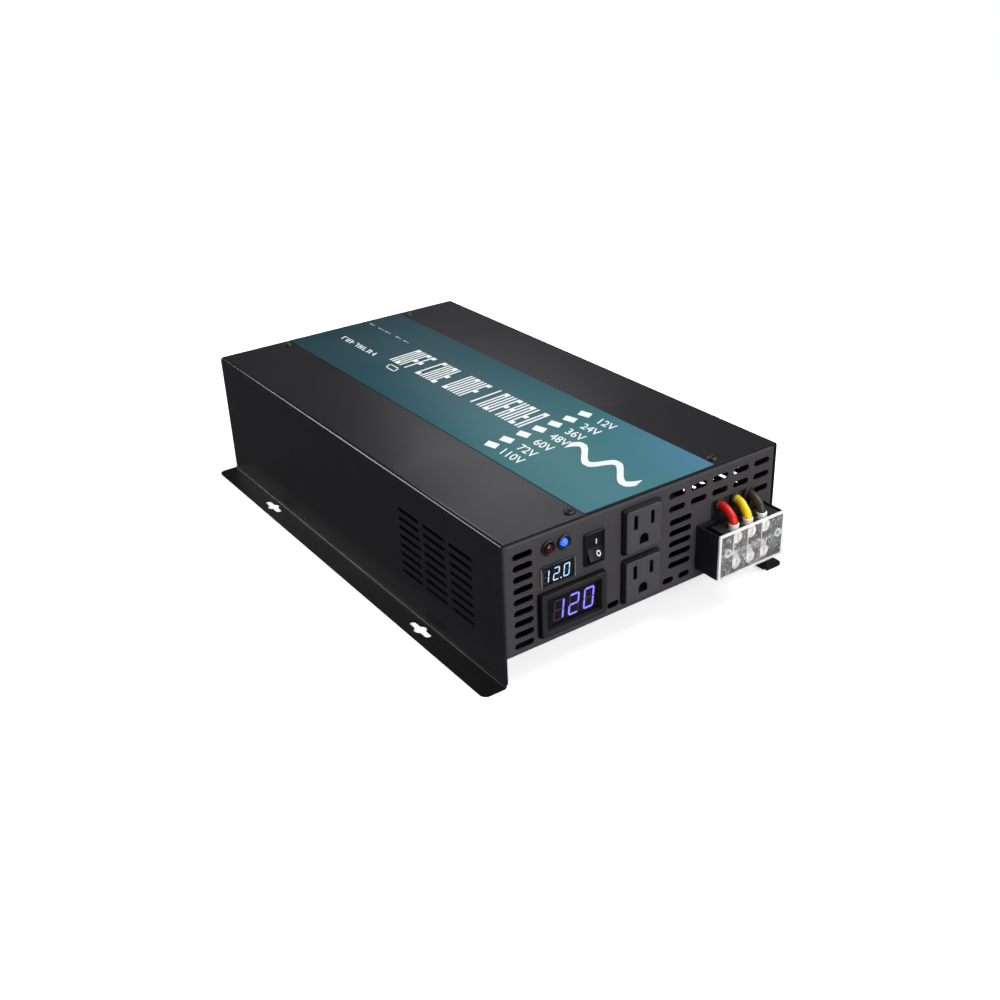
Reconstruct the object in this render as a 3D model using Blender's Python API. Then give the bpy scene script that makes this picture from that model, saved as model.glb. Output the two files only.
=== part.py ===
"""A power inverter: folded steel case, front outlets and meters, rear fans and DC studs, power stage inside.

Frame: metres, +Z up. The front panel faces -Y and the feet rest on z = 0. The origin is the middle of the
whole footprint, from the terminal cover at the front to the tips of the DC studs at the rear.
"""

import math

import bmesh
import bpy

MM = 0.001

# Case
BODY_WIDTH = 211 * MM
BODY_LENGTH = 373 * MM
BODY_HEIGHT = 93.8 * MM
BASE_HEIGHT = 20 * MM
SHEET = 1.2 * MM
GAP = 0.3 * MM
TOP_BEND = 2.4 * MM
FOOT_BEND = 1.0 * MM
FLANGE_REACH = 15 * MM
FLANGE_CORNER = 4.5 * MM
PANEL_RETURN = 14 * MM
PANEL_BEND = 2.0 * MM
COVER_INSET = 0.3 * MM
SLOT_HEIGHT = 4.3 * MM

# Reach of the parts that stand out beyond the two panels
TERMINAL_REACH = 20.9 * MM
STUD_REACH = 26 * MM
FRONT_Y = -(BODY_LENGTH + STUD_REACH - TERMINAL_REACH) / 2
REAR_Y = FRONT_Y + BODY_LENGTH

# Keyhole slots in the feet
KEYHOLE_FROM_END = 82 * MM
KEYHOLE_FROM_WALL = 6.8 * MM
KEYHOLE_LENGTH = 22 * MM
KEYHOLE_WIDTH = 4.2 * MM
KEYHOLE_ROUND = 8.4 * MM

# Side louvres
LOUVRE_COLUMNS = 3
LOUVRE_ROWS = 8
LOUVRE_LENGTH = 24 * MM
LOUVRE_HEIGHT = 2.6 * MM
LOUVRE_FIRST_Y = 41.8 * MM
LOUVRE_PITCH_Y = 28.3 * MM
LOUVRE_TOP_Z = 71.6 * MM
LOUVRE_PITCH_Z = 6.2 * MM

# Top pattern: the label and the cover screws sit a little right of the middle
PATTERN_SHIFT = 2.6 * MM
LABEL_WIDTH = 99.6 * MM
LABEL_THICKNESS = 0.25 * MM
LABEL_GAP = 0.1 * MM
SCREW_SPREAD = 110.2 * MM
SCREW_FROM_EDGE = 8.3 * MM
SCREW_HEAD = 3.4 * MM
SCREW_SHANK = 1.5 * MM
SCREW_TIP_Z = 88 * MM

# Front panel devices: x from the middle, z from the floor
LED_X = (-74.0 * MM, -63.0 * MM)
LED_Z = 82.1 * MM
LED_RADIUS = 2.5 * MM
DC_METER_AT = (-67.7 * MM, 64.2 * MM)
DC_METER_SIZE = (24.0 * MM, 13.4 * MM)
AC_METER_AT = (-58.0 * MM, 40.2 * MM)
AC_METER_SIZE = (48.0 * MM, 29.0 * MM)
SWITCH_AT = (-41.5 * MM, 70.9 * MM)
SWITCH_SIZE = (15.0 * MM, 21.2 * MM)
ROCKER_SIZE = (10.6 * MM, 15.6 * MM)
ROCKER_TILT = 12.0
ROCKER_PIVOT_DEPTH = 2.5 * MM
OUTLET_X = -6.6 * MM
OUTLET_Z = {"upper": 72.8 * MM, "lower": 39.3 * MM}
OUTLET_SIZE = (29 * MM, 30 * MM)
BLADE_SPACING = 12.7 * MM

# AC terminal box on the front panel
BOX_X = 66.5 * MM
BOX_WIDTH = 55.6 * MM
BOX_LOW_Z = 27.0 * MM
BOX_HEIGHT = 30.4 * MM
BOX_DEPTH = 19.2 * MM
BLOCK_X = 69.1 * MM
BLOCK_WIDTH = 47.4 * MM
POLE_PITCH = 12 * MM
POLE_NAMES = ("red", "yellow", "black")
TERMINAL_ROWS = {"upper": 50.0 * MM, "lower": 32.2 * MM}
PEG_X = 21.4 * MM
PEG_Z = 43.0 * MM
LUG_Y = -13.3 * MM
LUG_TAPER_Z = 53.5 * MM
COVER_TRAVEL_START = 19.5 * MM
WIRE_DIAMETER = 5.6 * MM
WIRE_EXIT_Z = 65.6 * MM
OPENING_U = (156.2 * MM, 190.3 * MM)
OPENING_Z = (56.6 * MM, 69.4 * MM)
HEADER_Y = 38 * MM
HEADER_TOP_Z = 40 * MM

# Rear
FAN_X = 66 * MM
FAN_Z = 55.6 * MM
FAN_SIZE = 60 * MM
FAN_DEPTH = 20 * MM
FAN_BORE = 28.5 * MM
HUB_RADIUS = 13 * MM
BLADES = 7
STUD_X = 20 * MM
STUD_RADIUS = 4 * MM

# Inside
BOARD_Z = 26.2 * MM
BOARD_THICKNESS = 1.6 * MM
BOARD_TOP = BOARD_Z + BOARD_THICKNESS + GAP
BOARD_FRONT = 30 * MM
BOARD_REAR = 348 * MM


def clear_scene():
    for obj in list(bpy.data.objects):
        bpy.data.objects.remove(obj, do_unlink=True)


def finish(name, colour, roughness, metallic=0.0):
    material = bpy.data.materials.new(name)
    material.use_nodes = True
    shader = material.node_tree.nodes["Principled BSDF"]
    shader.inputs["Base Color"].default_value = (*colour, 1.0)
    shader.inputs["Roughness"].default_value = roughness
    shader.inputs["Metallic"].default_value = metallic
    return material


def from_left(distance):
    """X of a point at this distance from the case's left wall."""
    return distance - BODY_WIDTH / 2


def rounded_rectangle(width, height, radius, steps=3, centre=(0.0, 0.0)):
    """Corner arcs in turn, anticlockwise from the lower right; a stadium where radius is half the height."""
    points = []
    for corner, (side, end) in enumerate(((1, -1), (1, 1), (-1, 1), (-1, -1))):
        middle_x = centre[0] + side * (width / 2 - radius)
        middle_y = centre[1] + end * (height / 2 - radius)
        for step in range(steps + 1):
            angle = math.radians(90 * (corner - 1 + step / steps))
            points.append((middle_x + radius * math.cos(angle), middle_y + radius * math.sin(angle)))
    return points


def circle(radius, steps=16, centre=(0.0, 0.0)):
    turns = [2 * math.pi * step / steps - math.pi / 2 for step in range(steps)]
    return [(centre[0] + radius * math.cos(a), centre[1] + radius * math.sin(a)) for a in turns]


def polygon(sides, across_flats, steps=12):
    """A regular polygon sampled at even angles, so that it lofts with a circle of as many points."""
    part = 2 * math.pi / sides
    points = []
    for step in range(steps):
        angle = 2 * math.pi * step / steps - math.pi / 2
        radius = across_flats / 2 / math.cos((angle + part / 2) % part - part / 2)
        points.append((radius * math.cos(angle), radius * math.sin(angle)))
    return points


def without_repeats(points):
    return [p for i, p in enumerate(points) if math.dist(p, points[i - 1]) > 1e-7]


def in_axis(axis, across, up, along):
    """A point whose outline lies across the axis: Y-Z for X, X-Z for Y, X-Y for Z."""
    return {"X": (along, across, up), "Y": (across, along, up), "Z": (across, up, along)}[axis]


def loft_into(bm, sections, axis, closed):
    rings = []
    for outline, along in sections:
        rings.append([bm.verts.new(in_axis(axis, across, up, along)) for across, up in outline])
    pairs = list(zip(rings, rings[1:]))
    if closed:
        pairs.append((rings[-1], rings[0]))
    else:
        bm.faces.new(rings[0])
        bm.faces.new(rings[-1])
    for lower, upper in pairs:
        for i in range(len(lower)):
            bm.faces.new((lower[i - 1], lower[i], upper[i], upper[i - 1]))


def lofted(sections, axis="Y", closed=False):
    """A solid through outlines of equal point count, each with its place along the axis.

    A closed loft joins its last outline to its first, which makes a tube or a ring."""
    bm = bmesh.new()
    loft_into(bm, sections, axis, closed)
    return bm


def prisms(outlines, axis, low, high):
    """Separate straight prisms in one mesh."""
    bm = bmesh.new()
    for outline in outlines:
        points = without_repeats(outline)
        loft_into(bm, ((points, low), (points, high)), axis, closed=False)
    return bm


def add(name, bm, material=None, location=(0, 0, 0), rotation=(0, 0, 0), smooth=False):
    bmesh.ops.recalc_face_normals(bm, faces=bm.faces)
    mesh = bpy.data.meshes.new(name)
    bm.to_mesh(mesh)
    bm.free()
    if smooth:
        mesh.shade_smooth()
        mesh.set_sharp_from_angle(angle=math.radians(35))
    obj = bpy.data.objects.new(name, mesh)
    bpy.context.scene.collection.objects.link(obj)
    obj.location = location
    obj.rotation_euler = rotation
    if material:
        mesh.materials.append(material)
    return obj


def combine(target, operand, operation="DIFFERENCE"):
    operand.hide_render = True
    operand.display_type = "WIRE"
    modifier = target.modifiers.new(operand.name, "BOOLEAN")
    modifier.operation = operation
    modifier.solver = "EXACT"
    modifier.object = operand


def cut(target, name, outlines, axis, low, high, location=(0, 0, 0)):
    combine(target, add(name, prisms(outlines, axis, low, high), location=location))


def join(target, name, outlines, axis, low, high, location=(0, 0, 0)):
    combine(target, add(name, prisms(outlines, axis, low, high), location=location), "UNION")


def arc(middle, radius, start, end, steps):
    """Points of an arc between two angles in degrees."""
    points = []
    for step in range(steps + 1):
        angle = math.radians(start + (end - start) * step / steps)
        points.append((middle[0] + radius * math.cos(angle), middle[1] + radius * math.sin(angle)))
    return points


def mirrored(points):
    return [(-x, z) for x, z in reversed(points)]


def screw_places():
    for end, y in (("front", FRONT_Y + SCREW_FROM_EDGE), ("rear", REAR_Y - SCREW_FROM_EDGE)):
        for side, sign in (("left", -1), ("right", 1)):
            yield f"cover_screw_{end}_{side}", PATTERN_SHIFT + sign * SCREW_SPREAD / 2, y


def keyhole(centre):
    """A slot along Y with a round opening in its middle."""
    half_slot = KEYHOLE_WIDTH / 2
    radius = KEYHOLE_ROUND / 2
    meet = math.degrees(math.asin(half_slot / radius))
    straight = KEYHOLE_LENGTH / 2 - half_slot
    points = arc((0, straight), half_slot, 0, 180, 4)
    points += arc((0, 0), radius, 90 + meet, 270 - meet, 6)
    points += arc((0, -straight), half_slot, 180, 360, 4)
    points += arc((0, 0), radius, 270 + meet, 450 - meet, 6)
    return [(centre[0] + x, centre[1] + y) for x, y in points]


def corner_waste(x, y, side, end):
    """The sheet removed outside a flange's rounded corner, whose tip is at x, y."""
    over = 1 * MM
    radius = FLANGE_CORNER
    middle = (x - side * radius, y - end * radius)
    curve = arc((0, 0), radius, 0, 90, 5)
    points = [(middle[0] + side * px, middle[1] + end * py) for px, py in curve]
    points.append((middle[0], y + end * over))
    points.append((x + side * over, y + end * over))
    points.append((x + side * over, middle[1]))
    return points


def make_cover(steel):
    """One folded sheet: the top, two louvred sides and the two slotted feet."""
    wall = BODY_WIDTH / 2
    tip = wall + FLANGE_REACH
    top_middle = (-wall + TOP_BEND, BODY_HEIGHT - TOP_BEND)
    foot_middle = (-wall - FOOT_BEND, SHEET + FOOT_BEND)
    outside = [(-tip, SHEET)]
    outside += arc(foot_middle, FOOT_BEND, -90, 0, 3)
    outside += arc(top_middle, TOP_BEND, 180, 90, 4)
    inside = [(-tip, 0.0)]
    inside += arc(foot_middle, FOOT_BEND + SHEET, -90, 0, 3)
    inside += arc(top_middle, TOP_BEND - SHEET, 180, 90, 4)
    profile = outside + mirrored(outside) + list(reversed(mirrored(inside))) + list(reversed(inside))
    front, rear = FRONT_Y + COVER_INSET, REAR_Y - COVER_INSET
    cover = add("cover", lofted(((profile, front), (profile, rear))), steel)

    foot_cuts = []
    for side in (-1, 1):
        for end, y in ((-1, front), (1, rear)):
            slot_x = side * (wall + KEYHOLE_FROM_WALL)
            foot_cuts.append(keyhole((slot_x, y - end * (KEYHOLE_FROM_END - COVER_INSET))))
            foot_cuts.append(corner_waste(side * tip, y, side, end))
    cut(cover, "foot_cutter", foot_cuts, "Z", -2 * SHEET, 2.2 * SHEET)

    louvres = []
    for column in range(LOUVRE_COLUMNS):
        for row in range(LOUVRE_ROWS):
            centre = (FRONT_Y + LOUVRE_FIRST_Y + column * LOUVRE_PITCH_Y, LOUVRE_TOP_Z - row * LOUVRE_PITCH_Z)
            louvres.append(rounded_rectangle(LOUVRE_LENGTH, LOUVRE_HEIGHT, LOUVRE_HEIGHT / 2, 1, centre))
    for side, name in ((-1, "left"), (1, "right")):
        low, high = sorted((side * (wall - 2 * SHEET), side * (wall + SHEET)))
        cut(cover, f"louvre_cutter_{name}", louvres, "X", low, high)

    holes = [circle(SCREW_SHANK + GAP, 12, (x, y)) for _, x, y in screw_places()]
    cut(cover, "cover_screw_cutter", holes, "Z", BODY_HEIGHT - 2 * SHEET, BODY_HEIGHT + SHEET)


def make_cover_screws(steel):
    """Pan-head screws through the cover into the panels' top returns."""
    seat = BODY_HEIGHT + LABEL_GAP
    sections = ((circle(SCREW_SHANK, 12), SCREW_TIP_Z), (circle(SCREW_SHANK, 12), seat))
    sections += ((circle(SCREW_HEAD, 12), seat), (circle(SCREW_HEAD, 12), seat + 0.5 * MM))
    sections += ((circle(0.7 * SCREW_HEAD, 12), seat + 1.3 * MM),)
    for name, x, y in screw_places():
        add(name, lofted(sections, "Z"), steel, location=(x, y, 0), smooth=True)


def make_panel(name, face_y, inward, steel):
    """A folded end panel: its face, a top return and two side returns, open below."""
    half = BODY_WIDTH / 2 - SHEET - GAP
    top = BODY_HEIGHT - SHEET - GAP
    bm = bmesh.new()
    outline = [(-half, BASE_HEIGHT), (half, BASE_HEIGHT), (half, top), (-half, top)]
    loft_into(bm, ((outline, face_y), (outline, face_y + inward * PANEL_RETURN)), "Y", closed=False)
    folds = []
    for edge in bm.edges:
        at_face = [abs(v.co.y - face_y) < 1e-6 for v in edge.verts]
        at_top = [v.co.z > top - 1e-6 for v in edge.verts]
        if (all(at_face) and any(at_top)) or (all(at_top) and any(at_face)):
            folds.append(edge)
    bmesh.ops.bevel(bm, geom=folds, offset=PANEL_BEND, segments=3, profile=0.5, affect="EDGES")
    panel = add(name, bm, steel)

    inner = half - SHEET
    clear = BASE_HEIGHT + SHEET + GAP
    far = half + SHEET
    below = BASE_HEIGHT - SHEET
    hollow = [(-far, below), (far, below), (far, clear), (inner, clear)]
    hollow += [(inner, top - SHEET), (-inner, top - SHEET), (-inner, clear), (-far, clear)]
    low, high = sorted((face_y + inward * SHEET, face_y + inward * (PANEL_RETURN + SHEET)))
    cut(panel, f"{name}_hollow", [hollow], "Y", low, high)
    holes = [circle(SCREW_SHANK + GAP, 12, (x, y)) for screw, x, y in screw_places() if name[:4] in screw]
    cut(panel, f"{name}_screw_cutter", holes, "Z", top - 2 * SHEET, top + SHEET)
    return panel


def slot(left, z, length):
    """A vent slot that starts at this distance from the left wall."""
    return rounded_rectangle(length, SLOT_HEIGHT, SLOT_HEIGHT / 2, 2, (from_left(left + length / 2), z))


def front_vents():
    """A column at the left, short slots in columns at the right, wide slots beside the outlets, a low row."""
    slots = [slot(7.6 * MM, (83.4 - 7.25 * row) * MM, 13.5 * MM) for row in range(9)]
    for column in range(5):
        rows = (84.0, 74.9, 65.4) if column == 4 else (84.0, 74.9)
        slots += [slot((121.5 + 17.55 * column) * MM, z * MM, 13.0 * MM) for z in rows]
    slots += [slot(122.4 * MM, (65.6 - 7.4 * row) * MM, 17.8 * MM) for row in range(5)]
    slots += [slot(left * MM, 26.3 * MM, 8.9 * MM) for left in (74.6, 118.0, 131.1)]
    return slots


def make_front_panel(steel):
    panel = make_panel("front_panel", FRONT_Y, 1, steel)
    holes = front_vents()
    for x in LED_X:
        holes.append(circle(3.8 * MM, 16, (x, LED_Z)))
    for place, size in ((DC_METER_AT, DC_METER_SIZE), (AC_METER_AT, AC_METER_SIZE), (SWITCH_AT, SWITCH_SIZE)):
        holes.append(rounded_rectangle(size[0] - 1.4 * MM, size[1] - 1.4 * MM, 0.5 * MM, 1, place))
    for z in OUTLET_Z.values():
        size = (OUTLET_SIZE[0] - 1.9 * MM, OUTLET_SIZE[1] - 1.9 * MM)
        holes.append(rounded_rectangle(*size, 1.5 * MM, 2, (OUTLET_X, z)))
    width = OPENING_U[1] - OPENING_U[0]
    height = OPENING_Z[1] - OPENING_Z[0]
    middle = (from_left(sum(OPENING_U) / 2), sum(OPENING_Z) / 2)
    holes.append(rounded_rectangle(width, height, 1.5 * MM, 2, middle))
    cut(panel, "front_panel_cutter", holes, "Y", FRONT_Y - 2 * MM, FRONT_Y + 3 * MM)


def make_base_plate(steel):
    """A folded tray under the works: its edges turn down inside the cover's sides."""
    half = BODY_WIDTH / 2 - SHEET - GAP
    top = BASE_HEIGHT + SHEET
    bend = 3.0 * MM
    inner_bend = bend - SHEET
    lip = 1.5 * MM
    middle = (-half + bend, top - bend)
    outside = [(-half, lip)] + arc(middle, bend, 180, 90, 4)
    inside = [(-half + SHEET, lip)] + arc(middle, inner_bend, 180, 90, 4)
    profile = outside + mirrored(outside) + list(reversed(mirrored(inside))) + list(reversed(inside))
    front = FRONT_Y + SHEET + GAP
    rear = REAR_Y - SHEET - GAP
    base = add("base_plate", lofted(((profile, front), (profile, rear))), steel)
    posts = []
    for x in (-86 * MM, 86 * MM):
        for y in (BOARD_FRONT + 8 * MM, BOARD_REAR - 8 * MM):
            posts.append(circle(4 * MM, 12, (x, FRONT_Y + y)))
    join(base, "board_posts", posts, "Z", BASE_HEIGHT + SHEET / 2, BOARD_Z - GAP)


def make_label(film):
    """A printed film that runs from the front edge of the cover to its rear edge."""
    length = BODY_LENGTH - 2 * MM
    outline = rounded_rectangle(LABEL_WIDTH, length, 0.5 * MM, 1, (PATTERN_SHIFT, FRONT_Y + BODY_LENGTH / 2))
    low = BODY_HEIGHT + LABEL_GAP
    add("top_label", prisms([outline], "Z", low, low + LABEL_THICKNESS), film)


def make_lamps(plastic, red, blue):
    """Two 5 mm lamps, each in a black snap-in holder."""
    holder = ((circle(3.5 * MM), 8 * MM), (circle(3.5 * MM), -GAP), (circle(4.7 * MM), -GAP))
    holder += ((circle(4.7 * MM), -1.2 * MM), (circle(4.1 * MM), -1.9 * MM))
    holder += ((circle(LED_RADIUS + GAP), -1.9 * MM), (circle(LED_RADIUS + GAP), 8 * MM))
    dome = ((circle(LED_RADIUS), 7 * MM), (circle(LED_RADIUS), -0.6 * MM))
    dome += ((circle(0.87 * LED_RADIUS), -1.8 * MM), (circle(0.5 * LED_RADIUS), -2.6 * MM))
    for x, name, material in zip(LED_X, ("red", "blue"), (red, blue)):
        place = (x, FRONT_Y, LED_Z)
        add(f"led_holder_{name}", lofted(holder, closed=True), plastic, place, smooth=True)
        add(f"led_{name}", lofted(dome), material, place, smooth=True)


def make_meter(name, place, size, stand, window_size, recess, depth, plastic, window):
    """A snap-in panel meter: bezel and body in one moulding, and a window set in its face."""
    body = (size[0] - 2 * MM, size[1] - 2 * MM)
    taper = 0.25 * stand
    face = (size[0] - 2 * taper, size[1] - 2 * taper)
    corner = 1.2 * MM
    sections = (
        (rounded_rectangle(*body, 0.5 * MM), depth),
        (rounded_rectangle(*body, 0.5 * MM), -GAP),
        (rounded_rectangle(*size, corner), -GAP),
        (rounded_rectangle(*size, corner), -0.4 * stand),
        (rounded_rectangle(*face, corner), -stand),
        (rounded_rectangle(*window_size, 0.4 * MM), -stand),
        (rounded_rectangle(*window_size, 0.4 * MM), recess - stand),
    )
    at = (place[0], FRONT_Y, place[1])
    add(f"{name}_body", lofted(sections), plastic, at)
    pane = rounded_rectangle(window_size[0] - 2 * GAP, window_size[1] - 2 * GAP, 0.3 * MM)
    inner = recess - stand - 0.1 * MM
    add(f"{name}_window", lofted(((pane, inner), (pane, inner - 0.5 * MM))), window, at)


def make_switch(plastic, rocker_plastic):
    """A snap-in rocker switch; the rocker turns about a pin across its housing."""
    opening = (ROCKER_SIZE[0] + 0.8 * MM, ROCKER_SIZE[1] + 3.0 * MM)
    body = (SWITCH_SIZE[0] - 2 * MM, SWITCH_SIZE[1] - 2 * MM)
    face = (SWITCH_SIZE[0] - 1.2 * MM, SWITCH_SIZE[1] - 1.2 * MM)
    sections = (
        (rounded_rectangle(*body, 0.5 * MM), 18 * MM),
        (rounded_rectangle(*body, 0.5 * MM), -GAP),
        (rounded_rectangle(*SWITCH_SIZE, 1.0 * MM), -GAP),
        (rounded_rectangle(*SWITCH_SIZE, 1.0 * MM), -1.2 * MM),
        (rounded_rectangle(*face, 1.0 * MM), -1.8 * MM),
        (rounded_rectangle(*opening, 0.5 * MM), -1.8 * MM),
        (rounded_rectangle(*opening, 0.5 * MM), 12 * MM),
    )
    at = (SWITCH_AT[0], FRONT_Y, SWITCH_AT[1])
    add("switch_housing", lofted(sections), plastic, at)

    half = ROCKER_SIZE[1] / 2
    valley = -1.0 * MM - ROCKER_PIVOT_DEPTH
    ridge = valley - half * math.tan(math.radians(ROCKER_TILT))
    reach = math.hypot(half, ridge)
    corner = math.degrees(math.atan2(half, ridge))
    outline = [(valley, 0.0)]
    outline += arc((0, 0), reach, corner, 117, 3)
    outline += arc((0, 0), 5.2 * MM, 60, -60, 6)
    outline += arc((0, 0), reach, -117, -corner, 3)
    width = ROCKER_SIZE[0] / 2
    pivot = (SWITCH_AT[0], FRONT_Y + ROCKER_PIVOT_DEPTH, SWITCH_AT[1])
    tilt = (-math.radians(ROCKER_TILT), 0, 0)
    add("switch_rocker", prisms([outline], "X", -width, width), rocker_plastic, pivot, tilt)


def make_outlets(plastic):
    """Two single grounded outlets: a bevelled face with two blade slots and a round-topped ground hole."""
    body = (OUTLET_SIZE[0] - 2.5 * MM, OUTLET_SIZE[1] - 2.5 * MM)
    face = (OUTLET_SIZE[0] - 3.4 * MM, OUTLET_SIZE[1] - 3.4 * MM)
    sections = (
        (rounded_rectangle(*body, 1.0 * MM), 22 * MM),
        (rounded_rectangle(*body, 1.0 * MM), -GAP),
        (rounded_rectangle(*OUTLET_SIZE, 1.5 * MM), -GAP),
        (rounded_rectangle(*OUTLET_SIZE, 1.5 * MM), -1.6 * MM),
        (rounded_rectangle(*face, 1.5 * MM), -4 * MM),
    )
    ground = [(-3.5 * MM, -9.9 * MM), (3.5 * MM, -9.9 * MM)] + arc((0, -6.6 * MM), 3.5 * MM, 0, 180, 8)
    neutral = rounded_rectangle(3.0 * MM, 9.4 * MM, 0.3 * MM, 1, (-BLADE_SPACING / 2, 5.5 * MM))
    live = rounded_rectangle(2.8 * MM, 8.8 * MM, 0.3 * MM, 1, (BLADE_SPACING / 2, 5.5 * MM))
    for level, z in OUTLET_Z.items():
        at = (OUTLET_X, FRONT_Y, z)
        outlet = add(f"outlet_{level}", lofted(sections), plastic, at)
        cut(outlet, f"outlet_{level}_slots", [ground, neutral, live], "Y", -6 * MM, 12 * MM, at)


def make_terminal_box(steel, bakelite):
    """A folded steel box open at the top and front, with the barrier block inside it."""
    outer = rounded_rectangle(BOX_WIDTH, BOX_HEIGHT, 0.4 * MM, 1, (BOX_X, BOX_LOW_Z + BOX_HEIGHT / 2))
    box = add("terminal_box", prisms([outer], "Y", FRONT_Y - BOX_DEPTH, FRONT_Y - GAP), steel)
    inner_width = BOX_WIDTH - 2 * SHEET
    floor = BOX_LOW_Z + SHEET
    hollow = rounded_rectangle(inner_width, 2 * BOX_HEIGHT, 0.4 * MM, 1, (BOX_X, floor + BOX_HEIGHT))
    cut(box, "terminal_box_hollow", [hollow], "Y", FRONT_Y - 2 * BOX_DEPTH, FRONT_Y - GAP - SHEET)

    back, channel, rib, ear = -5.5 * MM, -12.4 * MM, -19.0 * MM, -17.0 * MM
    half_rib = 0.9 * MM
    outline = [(BLOCK_WIDTH / 2, back), (-BLOCK_WIDTH / 2, back), (-BLOCK_WIDTH / 2, ear)]
    for number in range(4):
        x = (number - 1.5) * POLE_PITCH
        before = ear if number == 0 else channel
        after = ear if number == 3 else channel
        outline += [(x - half_rib, before), (x - half_rib, rib), (x + half_rib, rib), (x + half_rib, after)]
    outline.append((BLOCK_WIDTH / 2, ear))
    at = (BLOCK_X, FRONT_Y, 0)
    block_low = BOX_LOW_Z + SHEET + GAP
    block_top = BOX_LOW_Z + BOX_HEIGHT - 1.2 * MM
    block = add("terminal_block", prisms([outline], "Z", block_low, block_top), bakelite, at)
    holes = []
    for pole in (-1, 0, 1):
        holes += [circle(2.0 * MM, 12, (pole * POLE_PITCH, z)) for z in TERMINAL_ROWS.values()]
    cut(block, "terminal_screw_holes", holes, "Y", channel - 1 * MM, channel + 3.5 * MM, at)
    notches = [circle(3.5 * MM, 12, (pole * POLE_PITCH, LUG_Y)) for pole in (-1, 0, 1)]
    cut(block, "terminal_lug_notches", notches, "Z", LUG_TAPER_Z - 0.4 * MM, block_top + 1 * MM, at)
    ends = [circle(1.8 * MM, 12, (side * PEG_X, PEG_Z)) for side in (-1, 1)]
    cut(block, "terminal_peg_holes", ends, "Y", ear - 1 * MM, ear + 5 * MM, at)


def make_terminal_screws(brass):
    """Six cheese-head screws, two on each pole."""
    sections = ((circle(1.7 * MM, 12), -9.4 * MM), (circle(1.7 * MM, 12), -14.2 * MM))
    sections += ((circle(3.3 * MM, 12), -14.2 * MM), (circle(3.3 * MM, 12), -16.4 * MM))
    sections += ((circle(2.9 * MM, 12), -16.9 * MM),)
    for pole, name in enumerate(POLE_NAMES):
        for row, z in TERMINAL_ROWS.items():
            at = (BLOCK_X + (pole - 1) * POLE_PITCH, FRONT_Y, z)
            add(f"terminal_screw_{name}_{row}", lofted(sections), brass, at, smooth=True)


def make_lugs(tinned):
    """Crimped fork lugs: a round barrel that flattens into a fork under each upper screw."""
    y = FRONT_Y + LUG_Y
    barrel = circle(3.1 * MM, 16)
    tongue = rounded_rectangle(7.0 * MM, 1.0 * MM, 0.2 * MM, 3)
    top = BOX_LOW_Z + BOX_HEIGHT - 1.0 * MM
    sections = ((tongue, 47.0 * MM), (tongue, LUG_TAPER_Z), (barrel, LUG_TAPER_Z + 1.2 * MM), (barrel, top))
    fork = rounded_rectangle(4.2 * MM, 8 * MM, 2.0 * MM, 3, (0, 48.3 * MM))
    for pole, name in enumerate(POLE_NAMES):
        at = (BLOCK_X + (pole - 1) * POLE_PITCH, y, 0)
        lug = add(f"lug_{name}", lofted(sections, "Z"), tinned, at, smooth=True)
        cut(lug, f"lug_{name}_fork", [fork], "Y", -2 * MM, 2 * MM, at)


def make_terminal_cover(clear):
    """A clear cover that pushes onto the block with two pegs and pulls straight off towards the front."""
    low, high = BOX_LOW_Z + 0.2 * MM, BOX_LOW_Z + BOX_HEIGHT + 0.6 * MM
    plate = rounded_rectangle(BOX_WIDTH, high - low, 0.8 * MM, 2, (BOX_X, (low + high) / 2))
    cover = add(
        "terminal_cover",
        prisms([plate], "Y", FRONT_Y - TERMINAL_REACH, FRONT_Y - COVER_TRAVEL_START),
        clear,
    )
    pegs = [circle(1.3 * MM, 12, (BLOCK_X + side * PEG_X, PEG_Z)) for side in (-1, 1)]
    start = FRONT_Y - COVER_TRAVEL_START - 0.5 * MM
    join(cover, "terminal_cover_pegs", pegs, "Y", start, FRONT_Y - 14 * MM)


def smooth_route(points, steps):
    """A Catmull-Rom curve through the points."""
    ends = [tuple(2 * a - b for a, b in zip(points[0], points[1]))]
    last = [tuple(2 * a - b for a, b in zip(points[-1], points[-2]))]
    knots = ends + list(points) + last
    curve = []
    for before, start, end, after in zip(knots, knots[1:], knots[2:], knots[3:]):
        for step in range(steps):
            t = step / steps
            weights = (-t + 2 * t**2 - t**3, 2 - 5 * t**2 + 3 * t**3, t + 4 * t**2 - 3 * t**3, t**3 - t**2)
            ways = zip(before, start, end, after)
            curve.append(tuple(sum(w * v for w, v in zip(weights, way)) / 2 for way in ways))
    curve.append(points[-1])
    return curve


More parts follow.
